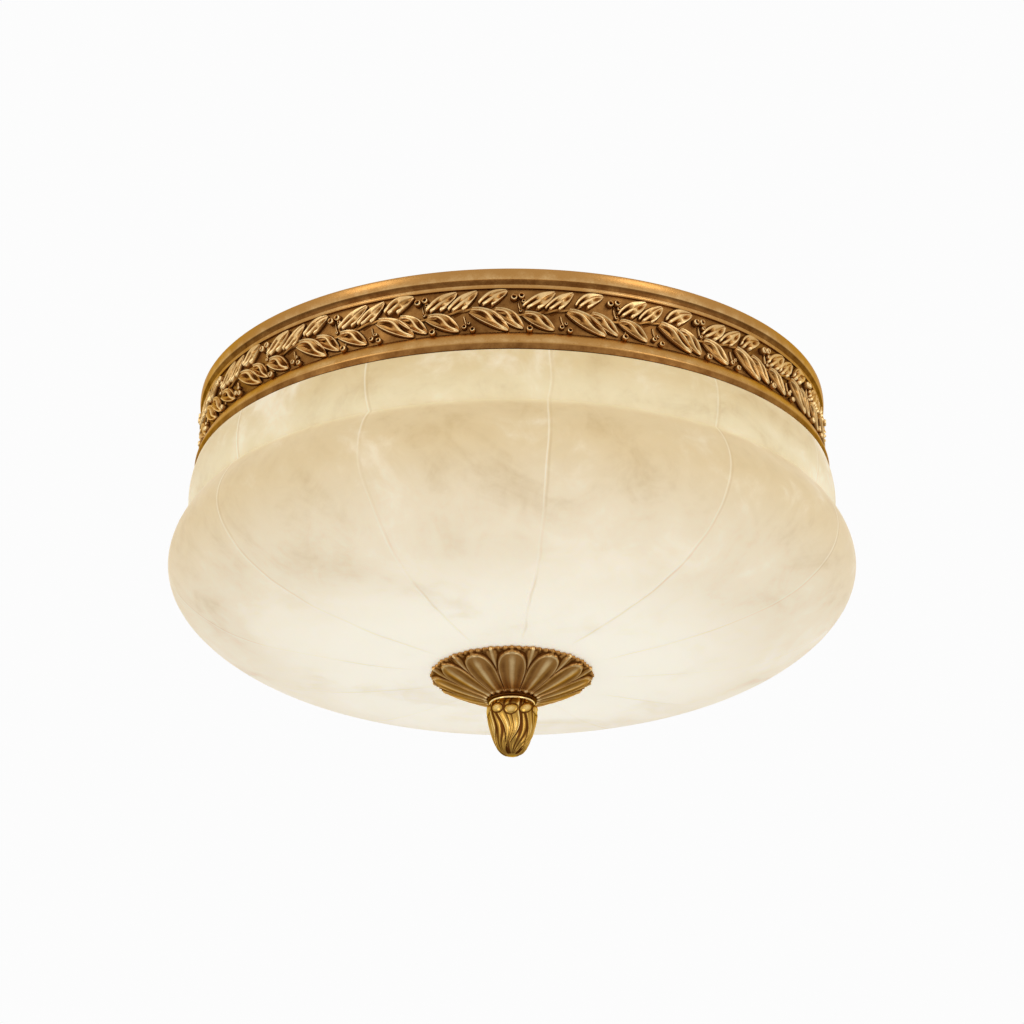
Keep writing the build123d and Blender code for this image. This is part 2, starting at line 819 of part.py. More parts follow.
def make_holder_screws():
    """Screws through each bracket's plate into the holder's back."""
    reach = bracket_sheet + holder_screw_depth - fit_clearance
    screw = Rot(0, 90, 0) * pan_head_screw(
        holder_screw_head_radius, holder_screw_head_height, holder_screw_radius, reach)
    return [at_lamp(angle, Pos(-bracket_sheet, side * holder_screw_spread / 2, 0) * screw)
            for angle in lamp_angles for side in (-1, 1)]


# Wiring -----------------------------------------------------------------------------------------

def make_block():
    """Terminal block on the pan: four ways with wire holes in both faces and screw wells."""
    body = Pos(0, -block_distance, pan_floor_top) * extrude(
        RectangleRounded(block_length, block_width, block_corner), block_height)
    for offset in way_offsets:
        for side in (-1, 1):
            face_y = -block_distance + side * block_width / 2
            way = Pos(offset, face_y, -lead_height) * Rot(90 * side, 0, 0)
            body -= way * disc(lead_radius + fit_clearance, 0, block_way_depth)
        well = disc(block_screw_radius + fit_clearance, 0, block_screw_height)
        body -= Pos(offset, -block_distance, block_top() - block_screw_height) * well
    return body


def block_top():
    return pan_floor_top + block_height


def make_block_screws():
    """Clamp screws at the bottom of the block's wells, with a slot each."""
    low = block_top() - block_screw_height
    high = block_top() - block_screw_recess
    screw = disc(block_screw_radius, low, high)
    slot = Box(2 * block_screw_radius, block_screw_slot_width, 2 * block_screw_slot_depth)
    screw -= Pos(0, 0, high) * slot
    return [Pos(offset, -block_distance, 0) * screw for offset in way_offsets]


def lead(points):
    """Round wire along straight runs joined by tangent arcs as large as the runs allow."""
    vectors = [Vector(*point) for point in points]
    radii = []
    for before, corner, after in zip(vectors, vectors[1:], vectors[2:]):
        run_in = corner - before
        run_out = after - corner
        shorter = min(run_in.length, run_out.length)
        half_turn = math.radians(run_in.get_angle(run_out)) / 2
        radii.append(bend_share * shorter / math.tan(half_turn))
    print("bend radii", [round(radius, 1) for radius in radii])
    path = FilletPolyline(*vectors, radius=radii)
    face = Plane(origin=path @ 0, z_dir=path % 0) * Circle(lead_radius)
    return sweep(face, path)


def lamp_lead(way, angle, bends):
    """Wire from the terminal block over the pan, down a grommet and into the holder's back.

    Each bend is a share of the way from the block to the grommet and a share of the side bow.
    """
    turn = math.radians(angle)
    across = (math.cos(turn), math.sin(turn))
    start = (way_offsets[way], block_face_y + lead_straight)
    drop = (lead_drop_radius * across[0], lead_drop_radius * across[1])
    end_radius = holder_reach + holder_floor
    points = [(start[0], block_face_y - block_way_depth, -lead_height)]
    points.append((start[0], start[1], -lead_height))
    for share, bow in bends:
        x = start[0] + share * (drop[0] - start[0]) + bow * lead_bow
        y = start[1] + share * (drop[1] - start[1])
        points.append((x, y, -lead_height))
    points.append((drop[0], drop[1], -lead_height))
    points.append((drop[0], drop[1], lamp_z))
    points.append((end_radius * across[0], end_radius * across[1], lamp_z))
    return lead(points)


def make_earth_lead():
    """Wire from the terminal block to the end of the lug's tongue on the crossbar."""
    start_y = block_face_y - block_way_depth
    lug_z = -crossbar_thickness - lug_thickness / 2
    end_y = -2 * lug_radius
    return lead([
        (way_offsets[0], start_y, -lead_height),
        (way_offsets[0], start_y + earth_lead_straight, -lead_height),
        (way_offsets[0] - earth_lead_side, start_y + earth_lead_run, -earth_lead_height),
        (-ground_screw_offset, end_y - lug_straight, lug_z),
        (-ground_screw_offset, end_y, lug_z)])


def make_grommets():
    """Rubber bushes that line the pan's wire holes."""
    bore = lead_radius + fit_clearance
    bush = ring(grommet_radius, bore, pan_floor_bottom, pan_floor_top)
    bush += ring(grommet_flange_radius, bore, pan_floor_top, pan_floor_top + grommet_flange)
    bush += ring(
        grommet_flange_radius, bore, pan_floor_bottom - grommet_flange, pan_floor_bottom)
    return [Rot(0, 0, angle) * Pos(lead_drop_radius, 0, 0) * bush for angle in lamp_angles]


# Assembly ---------------------------------------------------------------------------------------

def make_parts():
    """All pieces by node name; a list is a group of separate like solids."""
    washer_bottom = pan_floor_bottom - washer_thickness
    locknut_top = -crossbar_thickness
    parts = {
        "crossbar": make_crossbar(),
        "crossbar_locknut": hex_nut(
            nut_across_flats, nut_hole_radius, locknut_top - nut_height, locknut_top),
        "ground_screw": make_ground_screw(),
        "ground_lug": make_ground_lug(),
        "centre_rod": disc(rod_radius, rod_bottom_z, -rod_top_gap),
        "ceiling_pan": make_pan(),
        "pan_washer": ring(washer_radius, nut_hole_radius, washer_bottom, pan_floor_bottom),
        "pan_nut": hex_nut(
            nut_across_flats, nut_hole_radius, washer_bottom - nut_height, washer_bottom),
        "brass_band": make_band(),
        "band_screws": make_band_screws(),
        "leaf_frieze": make_frieze(),
        "stop_nut": hex_nut(
            nut_across_flats, nut_hole_radius, plate_top_z, plate_top_z + nut_height),
        "bracket_screws": make_bracket_screws(),
        "bracket_nuts": make_bracket_nuts(),
        "holder_screws": make_holder_screws(),
        "terminal_block": make_block(),
        "terminal_screws": make_block_screws(),
        "lead_grommets": make_grommets(),
        "earth_lead": make_earth_lead(),
        "alabaster_bowl": make_bowl(),
        "rim_gasket": make_gasket(),
        "upper_felt": ring(plate_radius, rod_hole_radius, bowl_floor_z, plate_bottom_z),
        "bowl_plate": ring(plate_radius, rod_hole_radius, plate_bottom_z, plate_top_z),
        "lower_felt": ring(
            lower_felt_radius, rod_hole_radius, rosette_boss_top, bowl_bottom_z),
        "rosette": make_rosette(),
        "neck_ring": make_neck_ring(),
        "bead_ring": make_bead_ring(),
        "finial": make_finial(),
    }
    lamp_pieces = {
        "holder_bracket": make_bracket(),
        "lampholder": make_holder(),
        "screw_shell": make_screw_shell(),
        "centre_contact": make_contact(),
        "lamp_cap": make_cap(),
        "lamp_bulb": make_bulb(),
    }
    lead_routes = [
        (2, [(0.26, 0.62), (0.53, 1.0), (0.8, 0.83)]),
        (1, [(0.5, -0.15)]),
        (3, [(0.5, -0.15)]),
    ]
    for index, angle in enumerate(lamp_angles):
        number = index + 1
        for name, piece in lamp_pieces.items():
            parts[f"{name}_{number}"] = at_lamp(angle, piece)
        way, bends = lead_routes[index]
        parts[f"lamp_lead_{number}"] = lamp_lead(way, angle, bends)
    return parts


os.makedirs("parts", exist_ok=True)
for node, shape in make_parts().items():
    solids = shape if isinstance(shape, list) else [shape]
    export_step(Compound(children=solids) if len(solids) > 1 else solids[0], f"parts/{node}.step")
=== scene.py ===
import json
import math

import bmesh
import bpy
import numpy as np
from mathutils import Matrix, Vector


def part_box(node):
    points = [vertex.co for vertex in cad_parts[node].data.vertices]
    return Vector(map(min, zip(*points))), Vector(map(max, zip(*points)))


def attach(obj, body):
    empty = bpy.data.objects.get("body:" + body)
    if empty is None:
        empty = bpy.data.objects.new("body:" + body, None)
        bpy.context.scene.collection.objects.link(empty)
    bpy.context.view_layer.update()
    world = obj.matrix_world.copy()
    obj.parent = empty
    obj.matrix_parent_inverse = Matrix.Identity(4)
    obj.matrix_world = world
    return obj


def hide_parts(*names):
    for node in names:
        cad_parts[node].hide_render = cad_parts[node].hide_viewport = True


bl_info = {
    "name": "Alabaster ceiling light",
    "version": (1, 0, 0),
    "blender": (4, 5, 0),
    "location": "View3D > Sidebar > Ceiling light",
    "description": "Dresses the packed ceiling light: band, leaf frieze, bowl, rosette, finial",
    "category": "Object",
}

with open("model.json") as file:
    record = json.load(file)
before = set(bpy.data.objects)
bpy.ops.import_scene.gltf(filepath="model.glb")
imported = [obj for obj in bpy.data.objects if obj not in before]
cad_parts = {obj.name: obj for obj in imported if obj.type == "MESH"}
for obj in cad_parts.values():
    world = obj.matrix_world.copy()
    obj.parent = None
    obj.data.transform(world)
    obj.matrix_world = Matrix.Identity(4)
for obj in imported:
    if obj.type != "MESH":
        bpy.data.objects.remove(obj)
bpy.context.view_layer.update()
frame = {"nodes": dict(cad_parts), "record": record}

MM = 0.001
FRONT = -math.pi / 2
# How far the border of a cast piece is sunk into what carries it
SUNK = 0.3 * MM

# Places read from the imported nodes, and the frieze's top and bottom as given, in metres
band_low, band_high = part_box("brass_band")
STRIP_RADIUS = float(band_high.x) - 5.2 * MM
FRIEZE_TOP = -13.1 * MM
FRIEZE_BOTTOM = -42.6 * MM
bowl_low, bowl_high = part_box("alabaster_bowl")
rosette_low, rosette_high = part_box("rosette")
neck_low, neck_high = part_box("neck_ring")
bead_low, bead_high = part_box("bead_ring")
finial_low, finial_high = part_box("finial")


# Settings ---------------------------------------------------------------------------------------

def length(name, description, millimetres):
    """A length setting, given in millimetres and kept in metres."""
    return bpy.props.FloatProperty(
        name=name, description=description, default=millimetres * MM, unit="LENGTH",
        precision=5)


def colour(name, description, value):
    """A colour setting."""
    return bpy.props.FloatVectorProperty(
        name=name, description=description, default=value, size=3, subtype="COLOR",
        min=0.0, max=1.0)


def count(name, description, value):
    """A whole number setting."""
    return bpy.props.IntProperty(name=name, description=description, default=value, min=3)


class BandSettings(bpy.types.PropertyGroup):
    """Sizes of the spun band."""
    foot_flare: length("Foot flare", "How far the foot stands out past the fascia", 2.4)
    flange_width: length("Top flange", "Width of the flange against the ceiling", 14.6)
    foot_edge: length("Foot edge", "Height of the bottom moulding's edge", 3.7)
    foot_width: length("Foot width", "Width of the bottom flange", 8.0)
    sheet: length("Sheet", "Thickness of the brass sheet", 1.4)
    fascia_height: length("Fascia height", "Height of the top moulding", 6.9)
    bevel_height: length("Bevel height", "Height of the bevel under the fascia", 2.9)
    bevel_depth: length("Bevel depth", "How far the bevel steps in", 1.9)


class FriezeSettings(bpy.types.PropertyGroup):
    """Sizes of the cast leaf frieze."""
    repeats: count("Repeats", "How often the sprig repeats round the band", 22)
    leaf_height: length("Leaf height", "How far a leaf stands out from the strip", 2.9)
    stem_radius: length("Stem radius", "Radius of the winding stem", 1.2)
    stem_wave: length("Stem wave", "How far the stem swings up and down", 2.3)


class BowlSettings(bpy.types.PropertyGroup):
    """Sizes of the alabaster bowl."""
    rim_radius: length("Rim radius", "Radius of the rim's outer edge", 210.8)
    wall: length("Wall", "Thickness of the stone", 7.0)
    rim_fillet: length("Rim rounding", "Rounding of the rim's outer edge", 0.8)
    hole_radius: length("Hole radius", "Radius of the hole for the rod", 6.5)
    seam_count: count("Seams", "How many seam lines run down the bowl", 12)
    seam_width: length("Seam width", "Width of each seam line", 1.2)
    glow: bpy.props.FloatProperty(
        name="Glow", description="Light given off by the stone", default=0.28)


class RosetteSettings(bpy.types.PropertyGroup):
    """Sizes of the cast rosette."""
    petals: count("Petals", "How many spoon-shaped petals", 12)
    neck_radius: length("Neck radius", "Radius where the petals start", 15.8)
    dish_rise: length("Dish rise", "Height of the dish line half way out", 6.2)
    thickness: length("Thickness", "Thickness of the rim", 1.4)
    boss_radius: length("Boss radius", "Radius of the boss on top", 13.0)
    bore_radius: length("Bore radius", "Radius of the hole for the rod", 5.2)


class FinialSettings(bpy.types.PropertyGroup):
    """Sizes of the cast finial."""
    leaves: count("Leaves", "How many leaves in each ring of leaves", 5)
    lobes: count("Lobes", "How many rounded lobes round the top", 10)
    top_radius: length("Top radius", "Radius of the bud's top edge", 14.2)
    waist_radius: length("Waist radius", "Radius half way down the flank", 14.2)
    tip_radius: length("Tip radius", "Radius where the rounded tip starts", 9.0)
    leaf_height: length("Leaf height", "How far the leaves stand out", 1.1)


class FinishSettings(bpy.types.PropertyGroup):
    """Colours of the finishes."""
    # The patina colour also serves the painted shade, and the worn brass colour also serves the
    # painted highlights, that the band and the frieze carry.
    brass_mid: colour("Brass", "Brass between the highlights and the patina", (0.42, 0.21, 0.06))
    brass_light: colour("Worn brass", "Rubbed high places", (0.92, 0.67, 0.33))
    brass_dark: colour("Patina", "Dark patina in the hollows", (0.115, 0.036, 0.006))
    gilt_mid: colour("Gilt", "Brighter brass of the finial", (0.50, 0.285, 0.06))
    gilt_light: colour("Bright gilt", "Polished high places of the finial", (0.98, 0.74, 0.33))
    # The palest stone colour is also the colour of the painted lamp glow towards the bottom of the
    # bowl.
    stone_light: colour("Pale alabaster", "Palest part of the bowl", (1.0, 0.94, 0.80))
    stone_neck: colour("Neck", "Top of the bowl's neck", (0.67, 0.52, 0.28))
    # Painted highlight: a lighter band just above the crease, where the neck turns to face
    # downwards.
    painted_crease_highlight: colour("Crease", "Lighter stone just above the crease", (0.76, 0.65, 0.42))
    stone_tan: colour("Warm alabaster", "Upper part of the bulge", (0.67, 0.52, 0.295))
    stone_dark: colour("Clouded alabaster", "Darkest clouds in the stone", (0.52, 0.36, 0.16))


class StageSettings(bpy.types.PropertyGroup):
    """Camera, lights and floor."""
    focal_length: bpy.props.FloatProperty(
        name="Focal length", description="Lens on a 36 mm sensor", default=105.47,
        unit="CAMERA")
    camera_distance: length("Camera distance", "Level distance to the lamp's axis", 1829.7)
    camera_drop: length("Camera drop", "Height of the ceiling above the camera", 857.7)
    camera_pitch: bpy.props.FloatProperty(
        name="Pitch", description="How far the camera looks up", default=math.radians(23.23),
        subtype="ANGLE")
    ambient: bpy.props.FloatProperty(
        name="Ambient", description="Strength of the even light from all round", default=0.61)
    surround: bpy.props.FloatProperty(
        name="Surround", description="Grey level of the backdrop that is seen", default=0.975)
    room_height: length("Room height", "Ceiling above the floor", 2400.0)


# Shader expressions -----------------------------------------------------------------------------

class Value:
    """A shader value with Python's operators: each operation adds one Math node."""

    def __init__(self, graph, socket):
        self.graph = graph
        self.socket = socket

    def maths(self, operation, *others):
        inputs = {0: self.socket}
        for index, other in enumerate(others):
            inputs[index + 1] = other.socket if isinstance(other, Value) else other
        node = self.graph.node("ShaderNodeMath", {"operation": operation}, inputs)
        return Value(self.graph, node.outputs[0])

    def __add__(self, other):
        return self.maths("ADD", other)

    __radd__ = __add__

    def __mul__(self, other):
        return self.maths("MULTIPLY", other)

    __rmul__ = __mul__

    def __sub__(self, other):
        return self.maths("SUBTRACT", other)

    def __rsub__(self, other):
        return (self * -1.0) + other

    def __truediv__(self, other):
        return self.maths("DIVIDE", other)

    def clamped(self):
        return self.maths("MAXIMUM", 0.0).maths("MINIMUM", 1.0)


class Graph:
    """A node tree under construction, empty at first."""

    def __init__(self, tree):
        self.tree = tree
        tree.nodes.clear()

    def node(self, kind, settings=None, inputs=None):
        """Add a node: its settings first, then the values or links of its sockets."""
        made = self.tree.nodes.new(kind)
        for name, value in (settings or {}).items():
            setattr(made, name, value)
        for name, value in (inputs or {}).items():
            if isinstance(value, Value):
                value = value.socket
            if isinstance(value, bpy.types.NodeSocket):
                self.tree.links.new(value, made.inputs[name])
            else:
                made.inputs[name].default_value = value
        return made


class Finish(Graph):
    """A material under construction."""

    def __init__(self, name):
        self.material = bpy.data.materials.new(name)
        self.material.use_nodes = True
        super().__init__(self.material.node_tree)

    def position(self):
        """Object coordinates, which are the row frame's."""
        return self.node("ShaderNodeTexCoord").outputs["Object"]

    def axes(self):
        """X, Y and Z of the position as values."""
        split = self.node("ShaderNodeSeparateXYZ", None, {0: self.position()})
        return [Value(self, output) for output in split.outputs]

    def attribute(self, name):
        node = self.node("ShaderNodeAttribute", {"attribute_name": name})
        return Value(self, node.outputs["Fac"])

    def noise(self, scale, detail=3.0, roughness=0.5, distortion=0.0, stretch=(1.0, 1.0, 1.0)):
        """Noise value on object coordinates; the stretch scales each axis."""
        placed = self.node(
            "ShaderNodeMapping", {"vector_type": "POINT"},
            {"Vector": self.position(), "Scale": stretch})
        made = self.node("ShaderNodeTexNoise", None, {
            "Vector": placed.outputs[0], "Scale": scale, "Detail": detail,
            "Roughness": roughness, "Distortion": distortion})
        return Value(self, made.outputs[0])

    def ramp(self, value, low, high, low_result=0.0, high_result=1.0):
        """Smooth step from one result to another as the value goes from low to high."""
        made = self.node("ShaderNodeMapRange", {"interpolation_type": "SMOOTHSTEP"}, {
            0: value, 1: low, 2: high, 3: low_result, 4: high_result})
        return Value(self, made.outputs[0])

    def mix(self, factor, first, second, blend="MIX"):
        """Colour mix; each colour is a link or three numbers."""
        def as_colour(shade):
            return shade if isinstance(shade, bpy.types.NodeSocket) else (*shade, 1.0)
        made = self.node("ShaderNodeMix", {"data_type": "RGBA", "blend_type": blend}, {
            0: factor, 6: as_colour(first), 7: as_colour(second)})
        return made.outputs[2]

    def bump(self, height, distance, strength=1.0):
        made = self.node("ShaderNodeBump", None, {
            "Height": height, "Distance": distance, "Strength": strength})
        return made.outputs[0]

    def done(self, **inputs):
        """Finish with one Principled shader; words are joined by _ in the names given."""
        named = {name.replace("_", " "): value for name, value in inputs.items()}
        shader = self.node("ShaderNodeBsdfPrincipled", None, named)
        self.node("ShaderNodeOutputMaterial", None, {0: shader.outputs[0]})
        return self.material


def antique_brass(name, dark, mid, light, roughness):
    """Cast or spun brass: patina in the hollows, rubbed metal on the heights, and painted light.

    Its colour follows a mesh attribute that runs from 0 in a hollow to 1 on a ridge; on some
    pieces that attribute also holds painted shade and painted highlights, which darken and
    brighten the colour in the same way.
    """
    finish = Finish(name)
    patina_and_shading = finish.attribute("patina_and_shading")
    blotch = finish.noise(90.0, 4.0, 0.6)
    fine = finish.noise(900.0, 3.0, 0.6)
    # Patina and wear are mixed here with the painted shade and highlights that the attribute
    # carries.
    wear_and_painted_light = (patina_and_shading + (blotch - 0.5) * 0.35 + (fine - 0.5) * 0.12).clamped()
    low = finish.ramp(wear_and_painted_light, 0.12, 0.52)
    high = finish.ramp(wear_and_painted_light, 0.55, 0.98)
    base = finish.mix(low, dark, mid)
    base = finish.mix(high, base, light)
    rough = roughness + 0.22 * (1.0 - low) + (fine - 0.5) * 0.10
    return finish.done(
        Base_Color=base, Metallic=1.0, Roughness=rough, Specular_Tint=(*light, 1.0),
        Normal=finish.bump(fine * 0.6 + blotch * 0.4, 0.0002, 0.35))


def plain_metal(name, shade, roughness, grain):
    """Sheet or turned metal with fine grain."""
    finish = Finish(name)
    fine = finish.noise(grain, 4.0, 0.6)
    cloud = finish.noise(grain * 0.06, 3.0, 0.5)
    darker = tuple(part * 0.78 for part in shade)
    base = finish.mix(finish.ramp(cloud, 0.3, 0.7), darker, shade)
    return finish.done(
        Base_Color=base, Metallic=1.0, Roughness=roughness + (fine - 0.5) * 0.16,
        Normal=finish.bump(fine, 0.0001, 0.3))


def threaded_metal(name, shade, roughness, pitch):
    """Turned rod with a screw thread about the Z axis, drawn as a bump."""
    finish = Finish(name)
    across, along, height = finish.axes()
    turn = along.maths("ARCTAN2", across) / (2.0 * math.pi)
    phase = (height / pitch + turn) * (2.0 * math.pi)
    groove = phase.maths("SINE")
    shadow = finish.ramp(groove, -1.0, 0.2)
    base = finish.mix(shadow, tuple(part * 0.35 for part in shade), shade)
    return finish.done(
        Base_Color=base, Metallic=1.0, Roughness=roughness + (1.0 - shadow) * 0.2,
        Normal=finish.bump(groove, pitch * 0.25, 0.9))


def moulded(name, shade, roughness, grain, depth, spread=0.12):
    """Opaque non-metal with slight mottling and a fine surface grain."""
    finish = Finish(name)
    fine = finish.noise(grain, 4.0, 0.6)
    cloud = finish.noise(grain * 0.05, 3.0, 0.5)
    darker = tuple(part * (1.0 - spread) for part in shade)
    base = finish.mix(finish.ramp(cloud, 0.3, 0.7), darker, shade)
    return finish.done(
        Base_Color=base, Roughness=roughness + (fine - 0.5) * 0.12,
        Normal=finish.bump(fine, depth, 0.5))


def felt_finish(name, shade):
    """Pressed fibres: two crossed stretched noises."""
    finish = Finish(name)
    fibres = finish.noise(700.0, 5.0, 0.7, 1.5, (1.0, 0.35, 1.0))
    across = finish.noise(700.0, 5.0, 0.7, 1.5, (0.35, 1.0, 1.0))
    weave = (fibres + across) * 0.5
    darker = tuple(part * 0.55 for part in shade)
    base = finish.mix(finish.ramp(weave, 0.35, 0.65), darker, shade)
    return finish.done(
        Base_Color=base, Roughness=0.95, Sheen_Weight=0.4,
        Normal=finish.bump(weave, 0.0004, 0.8))


def striped_sleeve(name, first, second, period):
    """Wire sleeve with a lengthwise stripe that winds slowly round."""
    finish = Finish(name)
    across, along, height = finish.axes()
    wave = ((along + height) / period * (2.0 * math.pi)).maths("SINE")
    fine = finish.noise(1500.0)
    base = finish.mix(finish.ramp(wave, -0.1, 0.1), first, second)
    return finish.done(
        Base_Color=base, Roughness=0.45 + (fine - 0.5) * 0.1,
        Normal=finish.bump(fine, 0.00005, 0.3))


def frosted_glass(name):
    """Lamp envelope, frosted inside."""
    finish = Finish(name)
    fine = finish.noise(1200.0, 4.0, 0.6)
    base = finish.mix(finish.ramp(fine, 0.3, 0.7), (0.90, 0.89, 0.85), (0.96, 0.95, 0.92))
    return finish.done(
        Base_Color=base, Roughness=0.28 + (fine - 0.5) * 0.1, Coat_Weight=0.6,
        Normal=finish.bump(fine, 0.00003, 0.2))


def alabaster(name, settings, look):
    """Clouded stone with fine seam lines, warm at the neck and pale at the middle, where the
    lit lamps' glow is painted; a painted highlight band lies just above the crease.

    A seam's place is the angle about the Z axis; its distance in metres is that angle times
    the radius, wandering with a slow noise. A painted highlight line runs beside the seam's dark
    joint line. Part of the light is given off by the stone, as it is when the lamps are lit.
    """
    finish = Finish(name)
    across, along, height = finish.axes()
    radius = (across * across + along * along).maths("SQRT")
    angle = along.maths("ARCTAN2", across) - (FRONT + math.radians(5.8))
    pitch = 2.0 * math.pi / settings.seam_count
    offset = ((angle / pitch + 20.5).maths("FRACT") - 0.5) * pitch
    wander = (finish.noise(9.0, 3.0) - 0.5) * 0.016
    distance = offset * radius + wander
    here = finish.ramp(radius, 0.05, 0.085) * finish.ramp(finish.noise(16.0, 3.0), 0.34, 0.60, 0.25)
    width = settings.seam_width
    # Painted highlight: a light line beside the seam's dark joint line.
    light = finish.ramp((distance + width * 0.6).maths("ABSOLUTE"), 0.0, width * 0.8, 1.0, 0.0)
    dark = finish.ramp((distance - width * 0.7).maths("ABSOLUTE"), 0.0, width * 1.1, 1.0, 0.0)

    depth = bowl_high.z - height
    # Down from the neck, a painted highlight band lies just above the crease.
    base = finish.mix(finish.ramp(depth, 0.006, 0.030), look.stone_neck, look.painted_crease_highlight)
    base = finish.mix(finish.ramp(depth, 0.031, 0.040), base, look.stone_tan)
    # Painted light: towards the bottom middle the stone is painted paler as the glow of the lit
    # lamps inside.
    pale = finish.ramp(depth, 0.055, 0.115) * 0.52 + finish.ramp(depth, 0.112, 0.132) * 0.48
    base = finish.mix(pale, base, look.stone_light)
    cloud = finish.noise(11.0, 5.0, 0.58, 0.8, (1.0, 1.0, 1.2))
    wisp = finish.noise(42.0, 5.0, 0.62, 1.2, (1.0, 0.75, 1.1))
    speck = finish.noise(190.0, 4.0, 0.6)
    tone = (cloud - 0.5) * 1.6 + (wisp - 0.5) * 0.55 + (speck - 0.5) * 0.12
    fade = finish.ramp(depth, 0.05, 0.13, 1.0, 0.42)
    base = finish.mix(finish.ramp(tone, -0.02, 0.55) * fade * 0.85, base, look.stone_dark)
    base = finish.mix(finish.ramp(tone, 0.02, -0.45) * 0.48, base, look.stone_light)
    base = finish.mix(dark * here * 0.30, base, look.stone_dark)
    base = finish.mix(light * here * 0.34, base, look.stone_light)
    return finish.done(
        Base_Color=base, Roughness=0.42 + (wisp - 0.5) * 0.16, Specular_IOR_Level=0.30,
        Subsurface_Weight=0.25, Subsurface_Radius=(0.012, 0.008, 0.004),
        Emission_Color=base, Emission_Strength=settings.glow,
        Normal=finish.bump(light * here + (speck - 0.5) * 0.05 + (wisp - 0.5) * 0.08,
                           0.0003, 0.5))


# Surfaces ---------------------------------------------------------------------------------------

def arc(start, end, sagitta, steps):
    """Points on a circular arc between two (radius, height) points.

    The sagitta is how far the middle of the arc stands to the right of the line from start
    to end; zero gives a straight line. The arc's angle runs in even steps.
    """
    start, end = np.asarray(start, float), np.asarray(end, float)
    chord = end - start
    size = np.hypot(*chord)
    along = chord / size
    side = np.array([-along[1], along[0]])
    share = np.linspace(0.0, 1.0, steps)[:, None]
    if abs(sagitta) < 1e-9:
        return start + share * chord
    half = 2.0 * math.atan2(2.0 * abs(sagitta), size)
    radius = size / (2.0 * math.sin(half))
    turn = (2.0 * share - 1.0) * half
    out = np.sign(sagitta) * (np.cos(turn) - math.cos(half)) * radius
    return start + along * (np.sin(turn) * radius + size / 2) + side * out


def joined(*runs):
    """One line from several that share their end points."""
    return np.concatenate([runs[0]] + [run[1:] for run in runs[1:]])


def outline(start, stretches):
    """One line from a chain of arcs, and the relief along it.

    Each stretch starts where the one before ends. It gives its end, its sagitta, its number of
    points, and its relief at both ends, where that matters.
    """
    runs, patina_and_shading_runs = [], []
    for end, sagitta, steps, *patina_and_shading in stretches:
        runs.append(arc(start, end, sagitta, steps))
        patina_and_shading_runs.append(np.linspace(*(patina_and_shading or (0.0, 0.0)), steps))
        start = end
    return joined(*runs), joined(*patina_and_shading_runs)


def clamped_spline(points, start_slope, end_slope, steps):
    """Smooth line through points: cubic pieces with equal slope and bend where they meet.

    The slopes at the points solve the usual three-term equations over chord length; the
    first and last are given as directions.
    """
    points = np.asarray(points, float)
    chord = np.hypot(*np.diff(points, axis=0).T)
    knots = np.concatenate([[0.0], np.cumsum(chord)])
    number = len(points)
    system = np.zeros((number, number))
    right = np.zeros((number, 2))
    system[0, 0] = system[-1, -1] = 1.0
    right[0] = np.asarray(start_slope) / np.hypot(*start_slope)
    right[-1] = np.asarray(end_slope) / np.hypot(*end_slope)
    for i in range(1, number - 1):
        before, after = chord[i - 1], chord[i]
        system[i, i - 1:i + 2] = after, 2.0 * (before + after), before
        right[i] = 3.0 * (after * (points[i] - points[i - 1]) / before
                          + before * (points[i + 1] - points[i]) / after)
    slope = np.linalg.solve(system, right)
    place = np.linspace(0.0, knots[-1], steps)
    piece = np.clip(np.searchsorted(knots, place, side="right") - 1, 0, number - 2)
    width = chord[piece][:, None]
    share = (place - knots[piece])[:, None] / width
    square, cube = share ** 2, share ** 3
    return ((2 * cube - 3 * square + 1) * points[piece] + (cube - 2 * square + share)
            * width * slope[piece] + (3 * square - 2 * cube) * points[piece + 1]
            + (cube - square) * width * slope[piece + 1])


def evenly(line, steps):
    """The same line with its points at equal steps along its length."""
    run = np.concatenate([[0.0], np.cumsum(np.hypot(*np.diff(line, axis=0).T))])
    at = np.linspace(0.0, run[-1], steps)
    return np.stack([np.interp(at, run, line[:, i]) for i in (0, 1)], axis=1)


def out_of(line):
    """Unit normals of a line of (radius, height) points that runs down the outside."""
    slope = np.gradient(line, axis=0)
    slope /= np.hypot(slope[:, 0], slope[:, 1])[:, None]
    return np.stack([-slope[:, 1], slope[:, 0]], axis=1)


def smooth_step(value, low, high):
    """0 below low, 1 above high, and a smooth S between."""
    share = np.clip((value - low) / (high - low), 0.0, 1.0)
    return share * share * (3.0 - 2.0 * share)


def hump(value, centre, width):
    """Bell shape: e to the minus square of the distance over the width."""
    return np.exp(-((value - centre) / width) ** 2)


def turned_grid(radius, height, columns, start=0.0):
    """Points of a surface about the Z axis, a row for each height and a column for each angle.

    Radius and height may change along the columns too.
    """
    angle = start + np.arange(columns) * 2.0 * math.pi / columns
    radius = np.broadcast_to(radius, (len(radius), columns))
    height = np.broadcast_to(height, (len(height), columns))
    return np.stack([radius * np.cos(angle), radius * np.sin(angle), height], axis=-1)


def grid_faces(rows, columns, close_rows=False, close_columns=True):
    """Quads between neighbours in a grid whose rows run down the outside."""
    row = np.arange(rows if close_rows else rows - 1)
    column = np.arange(columns if close_columns else columns - 1)
    row, column = np.meshgrid(row, column, indexing="ij")
    next_row, next_column = (row + 1) % rows, (column + 1) % columns
    corners = (row * columns + column, next_row * columns + column,
               next_row * columns + next_column, row * columns + next_column)
    return np.stack(corners, axis=-1).reshape(-1, 4)


def copies(faces, points_each, number):
    """The same faces for several patches whose points follow one another."""
    shift = np.arange(number)[:, None, None] * points_each
    return (faces[None] + shift).reshape(-1, 4)


